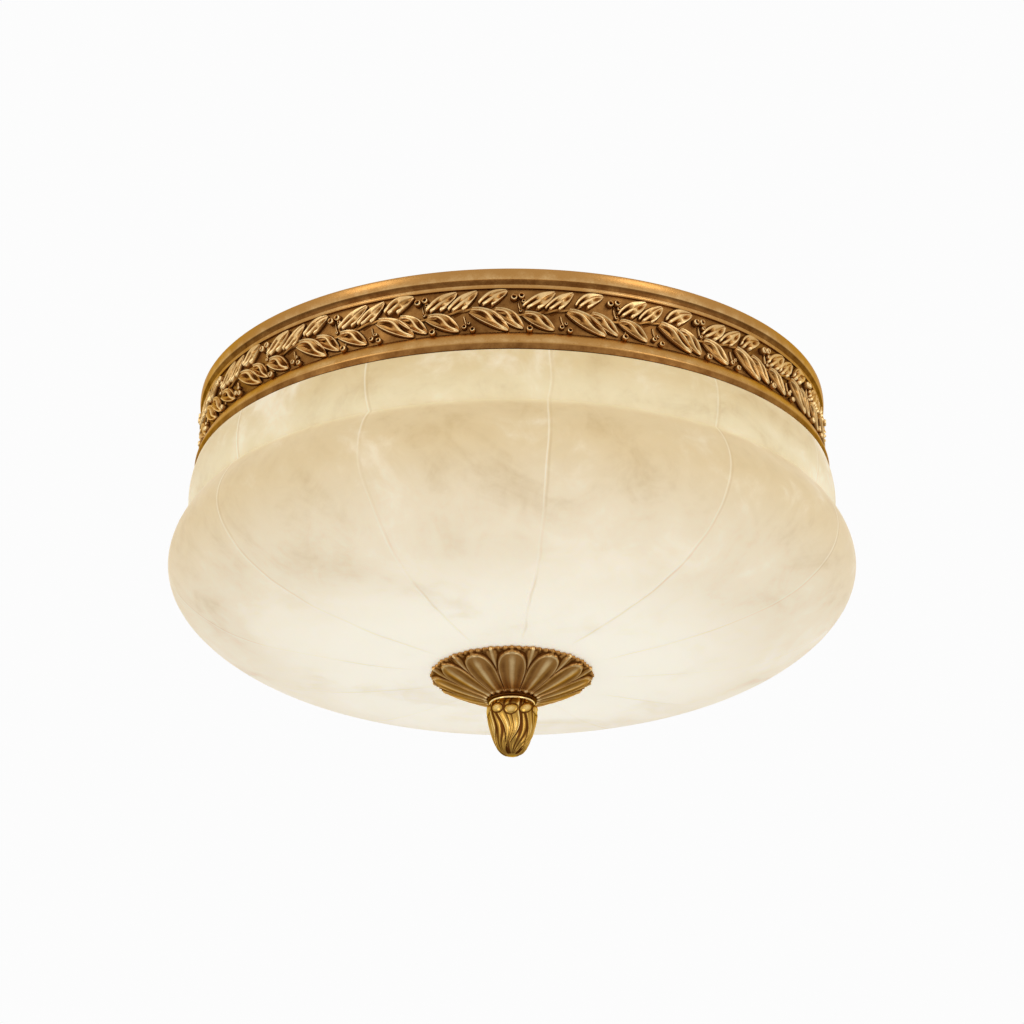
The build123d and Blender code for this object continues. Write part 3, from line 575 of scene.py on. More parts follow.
def add_piece(name, points, faces, body, material, patina_and_shading=None, replaces=(),
              sharp=math.radians(50), weld=False):
    """Mesh object from whole arrays, smooth but for its sharp corners, riding on a body."""
    points = np.ascontiguousarray(points, dtype=np.float32).reshape(-1, 3)
    faces = np.ascontiguousarray(faces, dtype=np.int32)
    mesh = bpy.data.meshes.new(name)
    mesh.vertices.add(len(points))
    mesh.vertices.foreach_set("co", points.ravel())
    mesh.loops.add(faces.size)
    mesh.loops.foreach_set("vertex_index", faces.ravel())
    mesh.polygons.add(len(faces))
    mesh.polygons.foreach_set("loop_start", np.arange(len(faces), dtype=np.int32) * 4)
    mesh.update(calc_edges=True)
    layer = mesh.attributes.new("patina_and_shading", "FLOAT", "POINT")
    values = np.full(len(points), 0.6) if patina_and_shading is None else np.asarray(patina_and_shading)
    layer.data.foreach_set("value", values.astype(np.float32).ravel())
    if weld:
        working = bmesh.new()
        working.from_mesh(mesh)
        bmesh.ops.remove_doubles(working, verts=working.verts, dist=1e-6)
        working.to_mesh(mesh)
        working.free()
    mesh.polygons.foreach_set("use_smooth", np.ones(len(mesh.polygons), dtype=bool))
    mesh.set_sharp_from_angle(angle=sharp)
    mesh.materials.append(material)
    made = bpy.data.objects.new(name, mesh)
    bpy.context.scene.collection.objects.link(made)
    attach(made, body)
    if replaces:
        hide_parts(*replaces)


def add_turned(name, line, shade, columns, body, material, replaces,
               sharp=math.radians(50), close_rows=True):
    """Piece from a line carried round the Z axis; the shade is its relief along the line."""
    points = turned_grid(line[:, :1], line[:, 1:], columns)
    patina_and_shading = np.broadcast_to(np.reshape(shade, (-1, 1)), points.shape[:2])
    add_piece(name, points, grid_faces(len(line), columns, close_rows), body, material,
              patina_and_shading, replaces, sharp)


def brass_finish(name, roughness, gilt=False):
    """Antique brass in the colours of the settings, or in the brighter ones if it is gilt."""
    look = bpy.context.scene.light_finish
    mid, light = (
        (look.gilt_mid, look.gilt_light) if gilt else (look.brass_mid, look.brass_light))
    return antique_brass(name, tuple(look.brass_dark), tuple(mid), tuple(light), roughness)


# Band and frieze --------------------------------------------------------------------------------

class LIGHT_OT_band(bpy.types.Operator):
    """Spun brass band: its outline is a chain of arcs carried round the axis"""
    bl_idname = "ceiling_light.band"
    bl_label = "Brass band"

    def execute(self, context):
        size = context.scene.light_band
        foot = band_high.x
        wall = foot - size.foot_flare
        low = band_low.z
        lip = -size.fascia_height - 0.3 * MM
        bead_top = lip - size.bevel_height
        bead = wall - size.bevel_depth
        ground = STRIP_RADIUS - 0.5 * MM
        foot_edge = low + size.foot_edge
        inner = ground - size.sheet
        # Each stretch's last two numbers set the brass colour from patina to rubbed. Besides
        # patina, they paint shade on the downward-facing undersides below the fascia and below the
        # foot, and painted highlights on the lower edges of the fascia and of the foot moulding.
        line, shade = outline((wall - size.flange_width, 0.0), [
            ((wall - 0.9 * MM, 0.0), 0.0, 2, 0.6, 0.6),
            ((wall - 0.1 * MM, -0.9 * MM), 0.2 * MM, 6, 0.5, 0.5),
            ((wall - 0.3 * MM, lip), 0.3 * MM, 14, 0.5, 0.68),
            ((bead - 0.5 * MM, bead_top), -0.3 * MM, 8, 0.28, 0.24),
            ((bead, bead_top - 0.8 * MM), 0.3 * MM, 6, 0.5, 0.66),
            ((bead, FRIEZE_TOP + 0.3 * MM), 0.15 * MM, 8, 0.68, 0.56),
            ((ground, FRIEZE_TOP), 0.0, 3, 0.34, 0.28),
            ((ground, FRIEZE_BOTTOM), 0.0, 3, 0.28, 0.28),
            ((bead, FRIEZE_BOTTOM - 0.2 * MM), 0.0, 3, 0.28, 0.42),
            ((foot - 0.5 * MM, foot_edge + 0.9 * MM), 0.5 * MM, 18, 0.5, 0.66),
            ((foot - 0.4 * MM, foot_edge), 0.2 * MM, 6, 0.70, 0.60),
            ((foot - 1.4 * MM, low), 0.15 * MM, 8, 0.31, 0.29),
            ((foot - size.foot_width, low), 0.0, 2, 0.2, 0.2),
            ((foot - size.foot_width, low + size.sheet), 0.0, 2, 0.4, 0.4),
            ((foot - 4.0 * MM, low + size.sheet), 0.0, 2, 0.4, 0.4),
            ((inner + 0.6 * MM, FRIEZE_BOTTOM + MM), 0.0, 3, 0.4, 0.4),
            ((inner, bead_top), 0.0, 3, 0.4, 0.4),
            ((wall - 2.0 * MM, -size.sheet), 0.0, 3, 0.4, 0.4),
            ((wall - size.flange_width, -size.sheet), 0.0, 2, 0.4, 0.4),
        ])
        add_turned("band_shell", line, shade, 480, "fixture",
                   brass_finish("band brass", 0.29), ["brass_band"], math.radians(35))
        return {"FINISHED"}


# One sprig of the frieze, repeated round the band. Places are degrees to the right of the front
# and millimetres below the ceiling. A leaf has its stalk end, its tip, its half width and bend
# in millimetres, and how much it stands out compared with the others.
UPPER_LEAVES = [
    ((2.1, 28.4), (7.2, 14.9), 5.6, 0.3, 1.00),
    ((5.9, 28.9), (10.5, 14.8), 5.0, 0.3, 0.94),
    ((11.0, 25.8), (16.0, 14.9), 5.5, 1.6, 1.00),
]
LOWER_LEAVES = [
    ((9.2, 27.6), (15.9, 42.0), 5.7, 1.2, 1.00),
    ((13.2, 28.0), (18.2, 41.0), 4.9, 1.4, 0.94),
    ((18.2, 30.6), (23.9, 41.4), 5.2, 1.3, 0.97),
]
# Berries: degrees, millimetres below the ceiling and radius in millimetres
BERRIES = [
    (0.35, 19.9, 2.5), (1.60, 18.8, 2.4), (1.95, 22.2, 1.6), (1.45, 28.6, 1.3), (2.95, 41.0, 2.4),
    (8.35, 38.9, 1.9), (9.75, 40.9, 2.1), (9.1, 36.3, 1.4),
]
# Stalks from the stem to the berries, in the same terms as the leaves
STALKS = [
    ((1.5, 29.4), (1.0, 20.0), 0.9, 0.4, 0.55),
    ((8.2, 30.4), (8.9, 38.4), 0.9, -0.5, 0.50),
    ((3.4, 33.4), (2.95, 39.6), 0.8, 0.3, 0.45),
]


def plateau(value, centre, width):
    """Flat-topped bell shape: e to the minus fourth power of the distance over the width."""
    return np.exp(-((value - centre) / width) ** 4)


def upper_leaf(u, v, seed):
    """Height, from 0 to 1, of a leaf with three fingers that join in a plate below its tip.

    Each finger is a flat-topped ridge with a knob where it starts; between them are gaps that
    close half way up. A hollow lies on the right of the tip.
    """
    fingers = np.zeros_like(u + v)
    knobs = np.zeros_like(fingers)
    for centre, start in ((0.74, 0.00), (0.02, 0.07), (-0.72, 0.30)):
        ridge = plateau(v, centre + 0.10 * seed, 0.27)
        fingers = np.maximum(fingers, ridge * smooth_step(u, start - 0.02, start + 0.05))
        knobs = np.maximum(knobs, ridge * hump(u, start + 0.07, 0.08))
    plate = smooth_step(u, 0.36 + 0.05 * seed, 0.56) * smooth_step(1.0 - np.abs(v), 0.0, 0.22)
    surface = np.maximum(fingers * (0.80 + 0.15 * (1.0 - u)), plate * 0.86)
    hollow = hump(v, -0.28 + 0.15 * seed, 0.20) * hump(u, 0.74, 0.12)
    crease = hump(v, 0.20 - 0.25 * seed, 0.09) * smooth_step(u, 0.45, 0.60)
    edge = hump(v, -0.84, 0.14) * smooth_step(u, 0.45, 0.65)
    return surface - 0.62 * hollow - 0.22 * crease + 0.22 * edge + 0.26 * knobs, knobs


def lower_leaf(u, v, seed):
    """Height, from 0 to 1, of a leaf with a raised border, a winding midrib and two hollows."""
    middle = 0.10 + 0.34 * np.sin(2.0 * math.pi * (u + 0.03 * seed))
    rib = hump(v, middle, 0.17) * smooth_step(u, 0.02, 0.12)
    border = hump(np.abs(v), 0.84, 0.17)
    first = hump(u, 0.27 + 0.04 * seed, 0.16) * plateau(v, middle - 0.38, 0.24)
    second = hump(u, 0.66 + 0.04 * seed, 0.18) * plateau(v, middle + 0.42, 0.25)
    slot = hump(u, 0.50, 0.22) * hump(v, -0.52, 0.13)
    knobs = hump(u, 0.90, 0.07) * hump(v, -0.25, 0.30)
    hollows = np.maximum(first, second) * (1.0 - rib) * (1.0 - 0.7 * border)
    surface = 0.70 + 0.26 * np.maximum(rib, border) - 0.72 * hollows
    return surface - 0.42 * slot + 0.22 * knobs, knobs


def stalk(u, v, seed):
    """Height of a plain round stalk."""
    flat = np.zeros_like(u + v)
    return flat + 0.9 * (1.0 - v * v), flat


def on_band(radius, turn, height):
    """Points at a turn in radians to the right of the front."""
    angle = FRONT + turn
    return np.stack([radius * np.cos(angle), radius * np.sin(angle), height], axis=-1)


def leaf_patches(leaves, form, base_share, repeats, strip_radius, height, rows, columns, spread):
    """Points and relief of every copy of the leaves on the band.

    A leaf has u from 0 at its stalk to 1 at its tip, and v from -1 to 1 across. Its half
    width is W sin(pi (b + (1 - b) u))^0.65, where b is the base share; its height comes from
    the form, and falls to the strip at the border. A skirt row all round ends in the strip.
    """
    number = len(leaves) * repeats
    u = np.linspace(0.0, 1.0, rows)[None, :, None]
    v = np.concatenate([[-1.0], np.linspace(-1.0, 1.0, columns - 2), [1.0]])[None, None, :]
    base = np.tile(np.array([leaf[0] for leaf in leaves]), (repeats, 1))
    tip = np.tile(np.array([leaf[1] for leaf in leaves]), (repeats, 1))
    width, bend, lift = np.tile(np.array([leaf[2:] for leaf in leaves]), (repeats, 1)).T
    seeded = np.random.default_rng(5)
    tip = tip + seeded.uniform(-1.0, 1.0, tip.shape) * (0.35, 0.25) * spread
    width = width * (1.0 + spread * seeded.uniform(-0.08, 0.08, number))
    lift = lift * (1.0 + spread * seeded.uniform(-0.08, 0.08, number))
    bend = bend + spread * seeded.uniform(-0.5, 0.5, number)
    seed = spread * seeded.uniform(-1.0, 1.0, number)[:, None, None]
    sector = np.repeat(np.arange(repeats), len(leaves)) * 2.0 * math.pi / repeats

    flat_base = np.stack([np.radians(base[:, 0]) * band_high.x, -base[:, 1] * MM], axis=1)
    flat_tip = np.stack([np.radians(tip[:, 0]) * band_high.x, -tip[:, 1] * MM], axis=1)
    run = flat_tip - flat_base
    side = np.stack([-run[:, 1], run[:, 0]], axis=1)
    side /= np.hypot(side[:, 0], side[:, 1])[:, None]
    half = np.sin(math.pi * np.clip(base_share + (1.0 - base_share) * u, 0.0, 0.9995)) ** 0.65
    across = (width[:, None, None] * half * v
              + bend[:, None, None] * np.sin(math.pi * u)) * MM
    flat = (flat_base[:, None, None, :] + u[..., None] * run[:, None, None, :]
            + across[..., None] * side[:, None, None, :])

    surface, knobs = form(u, v, seed)
    fall = smooth_step(1.0 - np.abs(v), 0.0, 0.17) * smooth_step(u, 0.0, 0.03)
    slope = 1.0 - 0.25 * smooth_step(u, 0.55, 1.0)
    skirt = np.zeros(v.shape[-1], bool)
    skirt[[0, -1]] = True
    outside = skirt[None, None, :] | (u <= 0.0) | (u >= 1.0)
    rise = np.maximum(surface * (0.45 + 0.55 * fall) * slope, 0.06)
    rise = np.where(outside, -SUNK, rise * lift[:, None, None] * height)
    # The shade follows the leaf's height as patina and wear. Besides that, each leaf is painted
    # darker towards its border, as shade where it meets the strip, and its knobs get a painted
    # highlight, partly rubbed brass as well.
    shade = np.clip((0.02 + 0.86 * surface) * (0.10 + 0.90 * fall) + 0.35 * knobs, 0.0, 1.0)
    shade = np.where(outside, 0.0, shade + np.zeros((number, 1, 1)))

    turn = sector[:, None, None] + flat[..., 0] / band_high.x
    points = on_band(strip_radius + rise, turn, flat[..., 1])
    faces = copies(grid_faces(rows, columns, close_columns=False), rows * columns, number)
    return points.reshape(-1, 3), faces, shade.reshape(-1)


def facing_out(points, faces):
    """The faces with each turned, where it must be, to look away from the band's axis."""
    corner = points[faces]
    normal = np.cross(corner[:, 2] - corner[:, 0], corner[:, 3] - corner[:, 1])
    middle = corner.mean(axis=1)
    inward = (normal[:, :2] * middle[:, :2]).sum(axis=1) < 0.0
    faces = faces.copy()
    faces[inward] = faces[inward][:, ::-1]
    return faces


def berry_patches(repeats, strip_radius):
    """Points and relief of every berry: a domed ring with a dimple, turned about its middle."""
    around, rings = 16, 8
    share = np.linspace(0.0, 1.0, rings)
    rise = 1.15 * hump(share, 0.60, 0.32) - 0.45 * hump(share, 0.0, 0.28)
    rise[-1] = -0.25
    shade = np.clip(0.08 + 0.95 * hump(share, 0.62, 0.27), 0.0, 1.0)
    shade[-1] = 0.0
    turn = np.arange(around) * 2.0 * math.pi / around
    table = np.tile(np.array(BERRIES), (repeats, 1))
    number = len(table)
    sector = np.repeat(np.arange(repeats), len(BERRIES)) * 2.0 * math.pi / repeats
    size = table[:, 2, None, None] * MM
    out = share[None, :, None]
    flat_x = np.radians(table[:, 0])[:, None, None] * band_high.x + size * out * np.cos(turn)
    flat_z = -table[:, 1, None, None] * MM + size * out * np.sin(turn)
    radius = strip_radius + 1.2 * MM + size * rise[None, :, None]
    radius = np.where(out >= 1.0, strip_radius - SUNK, radius)
    points = on_band(radius, sector[:, None, None] + flat_x / band_high.x, flat_z)
    patina_and_shading = np.broadcast_to(shade[None, :, None], flat_x.shape)
    faces = copies(grid_faces(rings, around), rings * around, number)
    return points.reshape(-1, 3), faces, patina_and_shading.reshape(-1)


def stem_patch(settings, strip_radius):
    """Points and relief of the stem: a tube half sunk in the strip, with two twisted strands."""
    columns, around = settings.repeats * 40, 12
    angle = np.arange(columns) * 2.0 * math.pi / columns
    phase = settings.repeats * angle - math.radians(33.0)
    centre = -29.0 * MM - settings.stem_wave * np.cos(phase)
    turn = np.arange(around) * 2.0 * math.pi / around
    strand = np.cos(2.0 * turn[:, None] + 6.0 * settings.repeats * angle[None, :])
    size = settings.stem_radius * (1.0 + 0.18 * strand)
    height = centre[None, :] + size * np.cos(turn)[:, None]
    radius = strip_radius + 0.3 * MM + size * np.sin(turn)[:, None]
    patina_and_shading = np.clip(0.16 + 0.12 * strand + 0.22 * np.sin(turn)[:, None], 0.0, 1.0)
    faces = grid_faces(around, columns, close_rows=True)[:, ::-1]
    return on_band(radius, angle[None, :], height), faces, patina_and_shading


class LIGHT_OT_frieze(bpy.types.Operator):
    """Cast frieze: laurel leaves, stalks, berries and a winding stem on a plain strip"""
    bl_idname = "ceiling_light.frieze"
    bl_label = "Leaf frieze"

    def execute(self, context):
        size = context.scene.light_frieze
        brass = brass_finish("frieze brass", 0.36)
        strip = STRIP_RADIUS
        edge = 0.4 * MM
        line, _ = outline((strip - SUNK, FRIEZE_TOP), [
            ((strip, FRIEZE_TOP - edge), 0.0, 2), ((strip, FRIEZE_BOTTOM + edge), 0.0, 14),
            ((strip - SUNK, FRIEZE_BOTTOM), 0.0, 2)])
        add_turned("frieze_strip", line, 0.30, 960, "fixture", brass,
                   ["leaf_frieze"], close_rows=False)

        for name, leaves, form, base_share, rows, across, spread in (
                ("frieze_upper_leaves", UPPER_LEAVES, upper_leaf, 0.16, 34, 29, 1.0),
                ("frieze_lower_leaves", LOWER_LEAVES, lower_leaf, 0.07, 34, 29, 1.0),
                ("frieze_stalks", STALKS, stalk, 0.25, 10, 9, 0.0)):
            points, faces, patina_and_shading = leaf_patches(
                leaves, form, base_share, size.repeats, strip, size.leaf_height, rows, across,
                spread)
            add_piece(name, points, facing_out(points, faces), "fixture",
                      brass, patina_and_shading)

        points, faces, patina_and_shading = berry_patches(size.repeats, strip)
        add_piece("frieze_berries", points, facing_out(points, faces), "fixture",
                  brass, patina_and_shading, weld=True)
        points, faces, patina_and_shading = stem_patch(size, strip)
        add_piece("frieze_stem", points, faces, "fixture", brass, patina_and_shading)
        return {"FINISHED"}


# Bowl -------------------------------------------------------------------------------------------

def bowl_outline(offset, rim, fillet):
    """Half outline of the bowl from the rim to the seat, moved in and up by the offset."""
    top = bowl_high.z
    edge = (rim - offset, top - fillet)
    crease = (rim + 0.6 * MM - offset, top - 33.6 * MM)
    neck = arc(edge, crease, 2.6 * MM, 32)
    if fillet:
        neck = joined(arc((edge[0] - fillet, top), edge, 0.29 * fillet, 6), neck)
    points = [
        crease, (rim + 14.2 * MM - offset, top - 64.0 * MM),
        (rim - 15.3 * MM - offset, top - 102.2 * MM + offset),
        (rim - 66.7 * MM, top - 121.2 * MM + offset),
        (52.0 * MM, top - 130.6 * MM + offset), (26.0 * MM, top - 131.6 * MM + offset)]
    return joined(neck, clamped_spline(points, (1.0, -1.0), (-1.0, 0.0), 110))


class LIGHT_OT_bowl(bpy.types.Operator):
    """Alabaster bowl: a closed outline of its outside, hole, inside and rim, turned"""
    bl_idname = "ceiling_light.bowl"
    bl_label = "Alabaster bowl"

    def execute(self, context):
        size = context.scene.light_bowl
        outside = bowl_outline(0.0, size.rim_radius, size.rim_fillet)
        inside = bowl_outline(size.wall, size.rim_radius, 0.0)
        low = outside[-1, 1]
        hole = arc((size.hole_radius, low), (size.hole_radius, low + size.wall), 0.0, 3)
        line = joined(
            outside, arc(outside[-1], hole[0], 0.0, 4), hole,
            arc(hole[-1], inside[-1], 0.0, 4), inside[::-1])
        stone = alabaster("alabaster", size, context.scene.light_finish)
        add_turned("bowl_stone", line, 0.6, 320, "bowl", stone, ["alabaster_bowl"],
                   math.radians(35))
        return {"FINISHED"}


# Rosette, rings and finial ----------------------------------------------------------------------

class LIGHT_OT_rosette(bpy.types.Operator):
    """Cast rosette: petals as a height field over a dish, with a toothed rim.

    Across a petal the offset is -1 to 1 between its neighbours' middles. A petal's outline
    has straight sides towards the neck and is a superellipse, with the power 2.2, at the rim
    """
    bl_idname = "ceiling_light.rosette"
    bl_label = "Rosette"

    def execute(self, context):
        size = context.scene.light_rosette
        rim = float(rosette_high.x)
        low = float(rosette_low.z)
        top = float(bowl_low.z) + 0.5 * MM
        edge_z = top - size.thickness
        middle = ((size.neck_radius + rim) / 2, low + size.dish_rise)
        chord = np.array([rim - size.neck_radius, edge_z - low])
        along = chord / np.hypot(*chord)
        sagitta = float(np.dot(np.array(middle) - (size.neck_radius, low),
                               (along[1], -along[0])))
        rows, columns = 96, size.petals * 48
        line = evenly(arc((size.neck_radius, low), (rim, edge_z), -sagitta, 60), rows)
        u = np.linspace(0.0, 1.0, rows)[:, None]
        angle = np.arange(columns)[None, :] * 2.0 * math.pi / columns
        offset = (angle * size.petals / (2.0 * math.pi) + 0.5) % 1.0 * 2.0 - 1.0
        away = np.abs(offset)

        start, end = 0.35, 0.965
        body = away / 0.955
        beyond = np.clip(u - start, 0.0, 1.0) / (end - start)
        inside = (body ** 2.2 + beyond ** 2.2) ** (1 / 2.2)
        mask = smooth_step(inside, 1.03, 0.97)
        border = hump(inside, 0.93, 0.045)
        groove = hump(inside, 1.04, 0.04) * smooth_step(u, 0.0, 0.1) * smooth_step(u, 1.0, 0.93)
        rib = hump(offset, 0.0, 0.24) * smooth_step(u, 1.0, 0.72)
        flute = hump(away, 0.56, 0.20) * smooth_step(inside, 0.98, 0.70)
        petal = 0.95 + 0.30 * border + 0.55 * rib - 0.28 * flute
        between = 1.0 - away
        sprout = hump(between, 0.0, 0.12)
        sprout_edge = hump(between, 0.30, 0.06) * smooth_step(u, 0.66, 0.80)
        teeth = np.cos(6.0 * size.petals * angle) * smooth_step(u, 0.92, 0.985)
        lip = hump(u, 0.03, 0.035)
        rise = (mask * petal + (1.0 - mask) * (0.25 + 0.45 * sprout) - 0.40 * groove
                + 0.28 * teeth + 0.5 * lip) * MM
        shade = np.clip(
            mask * (0.46 + 0.34 * border + 0.38 * rib - 0.14 * flute)
            + (1.0 - mask) * (0.36 + 0.44 * sprout - 0.22 * sprout_edge) - 0.60 * groove
            + 0.22 * teeth * smooth_step(u, 0.95, 0.98) + 0.25 * lip, 0.0, 1.0)

        normal = -out_of(line)
        reach = smooth_step(u, 0.80, 1.0)
        scallop = (0.55 * np.cos(6.0 * size.petals * angle)
                   + 0.45 * np.cos(size.petals * angle * 2.0) - 1.0) * MM * reach
        radius = line[:, :1] + normal[:, :1] * rise + scallop
        height = line[:, 1:] + normal[:, 1:] * rise
        back = evenly(arc((rim - 0.4 * MM, top), (size.boss_radius, low + 4.0 * MM),
                          -0.6 * sagitta, 20), 10)
        back_radius = np.repeat(back[:, :1], columns, axis=1)
        back_radius[0] = radius[-1]
        boss_top = float(rosette_high.z)
        hub = np.array([
            (size.boss_radius, boss_top), (size.bore_radius, boss_top),
            (size.bore_radius, low), (size.neck_radius - 0.4 * MM, low)])
        radius = np.concatenate([radius, back_radius, np.repeat(hub[:, :1], columns, axis=1)])
        height = np.concatenate([
            height, np.repeat(back[:, 1:], columns, axis=1),
            np.repeat(hub[:, 1:], columns, axis=1)])
        points = turned_grid(radius, height, columns, FRONT)
        patina_and_shading = np.concatenate([
            shade, np.full((1, columns), 0.55),
            np.full((len(back) + len(hub) - 1, columns), 0.35)])
        add_piece(
            "rosette_cast", points, grid_faces(len(radius), columns, close_rows=True)[:, ::-1],
            "rosette_body", brass_finish("rosette brass", 0.33), patina_and_shading,
            ["rosette"], math.radians(60))
        return {"FINISHED"}


class LIGHT_OT_rings(bpy.types.Operator):
    """Dark waisted ring and bright bead between the rosette and the finial"""
    bl_idname = "ceiling_light.rings"
    bl_label = "Rings"

    def execute(self, context):
        bore = context.scene.light_rosette.bore_radius
        low, high = float(neck_low.z), float(neck_high.z)
        middle, outer = (low + high) / 2, float(neck_high.x) - 0.3 * MM
        collar, _ = outline((bore, high), [
            ((outer - 0.1 * MM, high), 0.0, 2),
            ((outer, middle + 0.5 * MM), 0.35 * MM, 6),
            ((outer, middle - 0.5 * MM), -0.35 * MM, 6),
            ((outer - 0.1 * MM, low), 0.35 * MM, 6),
            ((bore, low), 0.0, 2)])
        low, high = float(bead_low.z), float(bead_high.z)
        outer = float(bead_high.x) - 1.1 * MM
        bead, _ = outline((bore, high), [
            ((outer, high), 0.0, 2), ((outer, low), 1.1 * MM, 14), ((bore, low), 0.0, 2)])
        for name, line, shade, slot, brass, node in (
                ("neck_collar", collar, 0.16, "dark_brass",
                 brass_finish("dark collar brass", 0.28), "neck_ring"),
                ("bead_collar", bead, 0.95, "bright_brass",
                 brass_finish("bead brass", 0.2, gilt=True), "bead_ring")):
            add_turned(name, line, shade, 144, "rosette_body", brass, [node],
                       math.radians(40))
        return {"FINISHED"}


def finial_leaf(offset, s, start, end, width, fullness):
    """How far inside a leaf each point of the bud is: 0 on its outline and 1 on its midrib.

    The leaf runs down from start to end as shares of the bud's outline; its half width in
    radians is width times sin(pi t^fullness), where t is the share of the leaf's length.
    """
    t = np.clip((s - start) / (end - start), 0.0, 1.0)
    half = width * np.maximum(np.sin(math.pi * t ** fullness), 0.0) ** 0.8
    return 1.0 - np.abs(offset) / np.maximum(half, 1e-4), t


class LIGHT_OT_finial(bpy.types.Operator):
    """Cast bud: two rings of winding leaves and a ring of round lobes over a turned core"""
    bl_idname = "ceiling_light.finial"
    bl_label = "Finial"

    def execute(self, context):
        size = context.scene.light_finial
        bore = context.scene.light_rosette.bore_radius
        low, high, outer = float(finial_low.z), float(finial_high.z), float(finial_high.x)
        widest = outer - 0.25 * MM
        flank = [
            (size.top_radius - 0.6 * MM, high), (widest - 0.9 * MM, high - 1.8 * MM),
            (widest - 0.4 * MM, high - 5.0 * MM), (size.waist_radius - 0.5 * MM, high - 16.6 * MM),
            (size.tip_radius, high - 28.9 * MM), (4.6 * MM, low + 1.6 * MM), (0.0, low + 0.8 * MM)]
        rows, columns = 150, 300
        line = evenly(clamped_spline(flank, (1.0, -0.9), (-1.0, 0.0), 400), rows)
        s = np.linspace(0.0, 1.0, rows)[:, None]
        angle = np.arange(columns)[None, :] * 2.0 * math.pi / columns

        winding = angle + 0.35 * s + 0.16 * np.sin(8.0 * s + 0.6)

        def ring_offset(number, shift, turned):
            pitch = 2.0 * math.pi / number
            return (turned - shift * pitch + pitch / 2) % pitch - pitch / 2

        surface = np.zeros((rows, columns)) + 0.10
        for start, end, width, shift, raised in (
                (-0.10, 1.04, 0.72, 0.5, 0.80), (-0.55, 0.80, 0.52, 0.0, 1.00)):
            offset = ring_offset(size.leaves, shift, winding)
            inside, t = finial_leaf(offset, s, start, end, width, 0.95)
            side = np.where(offset > 0.0, 1.0, 0.62)
            leaf = (0.38 + 0.52 * hump(inside, 0.14, 0.09) * side
                    + 0.26 * hump(inside, 1.0, 0.12) + 0.46 * hump(inside, 0.55, 0.2)
                    * hump(t, 0.74, 0.13) - 0.22 * hump(inside, 0.78, 0.10)) * raised
            gap = hump(inside, -0.06, 0.09)
            surface = np.where(inside > 0.0, leaf * smooth_step(inside, 0.0, 0.08),
                               surface * (1.0 - gap))
        offset = ring_offset(size.lobes, 0.12, angle + 0.6 * s)
        middle = 0.17 + 0.035 * np.cos(3.0 * angle)
        ball = (offset / 0.26) ** 2 + ((s - middle) / 0.075) ** 2
        lobe = np.sqrt(np.clip(1.0 - ball, 0.0, 1.0))
        surface = np.where(lobe > 0.0, 0.30 + 0.52 * lobe,
                           surface * (1.0 - 0.8 * hump(np.sqrt(ball), 1.08, 0.10)))
        button = smooth_step(s, 0.90, 0.94)
        surface = surface * (1.0 - button) + 0.62 * button
        shade = np.clip(surface - 0.06, 0.0, 1.0)
        rise = surface * smooth_step(s, 0.0, 0.05) * size.leaf_height
        normal = out_of(line)
        radius = np.maximum(line[:, :1] + normal[:, :1] * rise, 0.0)
        height = line[:, 1:] + normal[:, 1:] * rise
        radius[-1] = 0.0
        height[-1] = height[-1].mean()
        inner = np.array([(0.0, high - 13.0 * MM), (bore, high - 13.0 * MM), (bore, high)])
        radius = np.concatenate([radius, np.repeat(inner[:, :1], columns, axis=1)])
        height = np.concatenate([height, np.repeat(inner[:, 1:], columns, axis=1)])
        patina_and_shading = np.concatenate([shade, np.full((len(inner), columns), 0.5)])
        points = turned_grid(radius, height, columns, FRONT)
        faces = grid_faces(len(radius), columns, close_rows=True)
        from_tip = faces[:, 0] // columns == rows - 1
        add_piece("finial_bud", points, faces[~from_tip], "finial_body",
                  brass_finish("finial brass", 0.22, gilt=True), patina_and_shading, ["finial"],
                  math.radians(70), weld=True)
        return {"FINISHED"}


# Inner parts ------------------------------------------------------------------------------------

class LIGHT_OT_inner(bpy.types.Operator):
    """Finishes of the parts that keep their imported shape"""
    bl_idname = "ceiling_light.inner"
    bl_label = "Inner parts"

    def execute(self, context):
        finishes = {
            "zinc_steel": plain_metal("zinc plate", (0.62, 0.62, 0.60), 0.36, 900.0),
            "plain_brass": plain_metal("plain brass", (0.72, 0.48, 0.18), 0.32, 900.0),
            "white_enamel": moulded("white enamel", (0.86, 0.85, 0.81), 0.32, 500.0, 0.00004),
            "felt": felt_finish("grey felt", (0.42, 0.37, 0.30)),
            "rubber": moulded("black rubber", (0.045, 0.045, 0.045), 0.70, 900.0, 0.0001),
            "porcelain": moulded("porcelain", (0.88, 0.87, 0.83), 0.16, 250.0, 0.00002, 0.04),
            "lamp_cap": plain_metal("lamp cap", (0.74, 0.74, 0.72), 0.30, 1100.0),
            "lamp_glass": frosted_glass("frosted glass"),
            "lead_sleeve": moulded("lead sleeve", (0.84, 0.82, 0.75), 0.45, 900.0, 0.00003),
            "earth_sleeve": striped_sleeve(
                "earth sleeve", (0.10, 0.36, 0.06), (0.80, 0.68, 0.06), 0.012),
            "terminal_plastic": moulded(
                "terminal plastic", (0.84, 0.82, 0.74), 0.38, 700.0, 0.00005),
        }
        threaded = threaded_metal("threaded rod", (0.66, 0.43, 0.16), 0.34, 1.0 * MM)
        for part in frame["record"]["subparts"]:
            node = frame["nodes"][part["node"]]
            finish = finishes.get(part["material_slot"])
            if finish is None:
                continue
            if part["node"] == "centre_rod":
                finish = threaded
            node.data.materials.clear()
            node.data.materials.append(finish)
        return {"FINISHED"}


# Stage ------------------------------------------------------------------------------------------

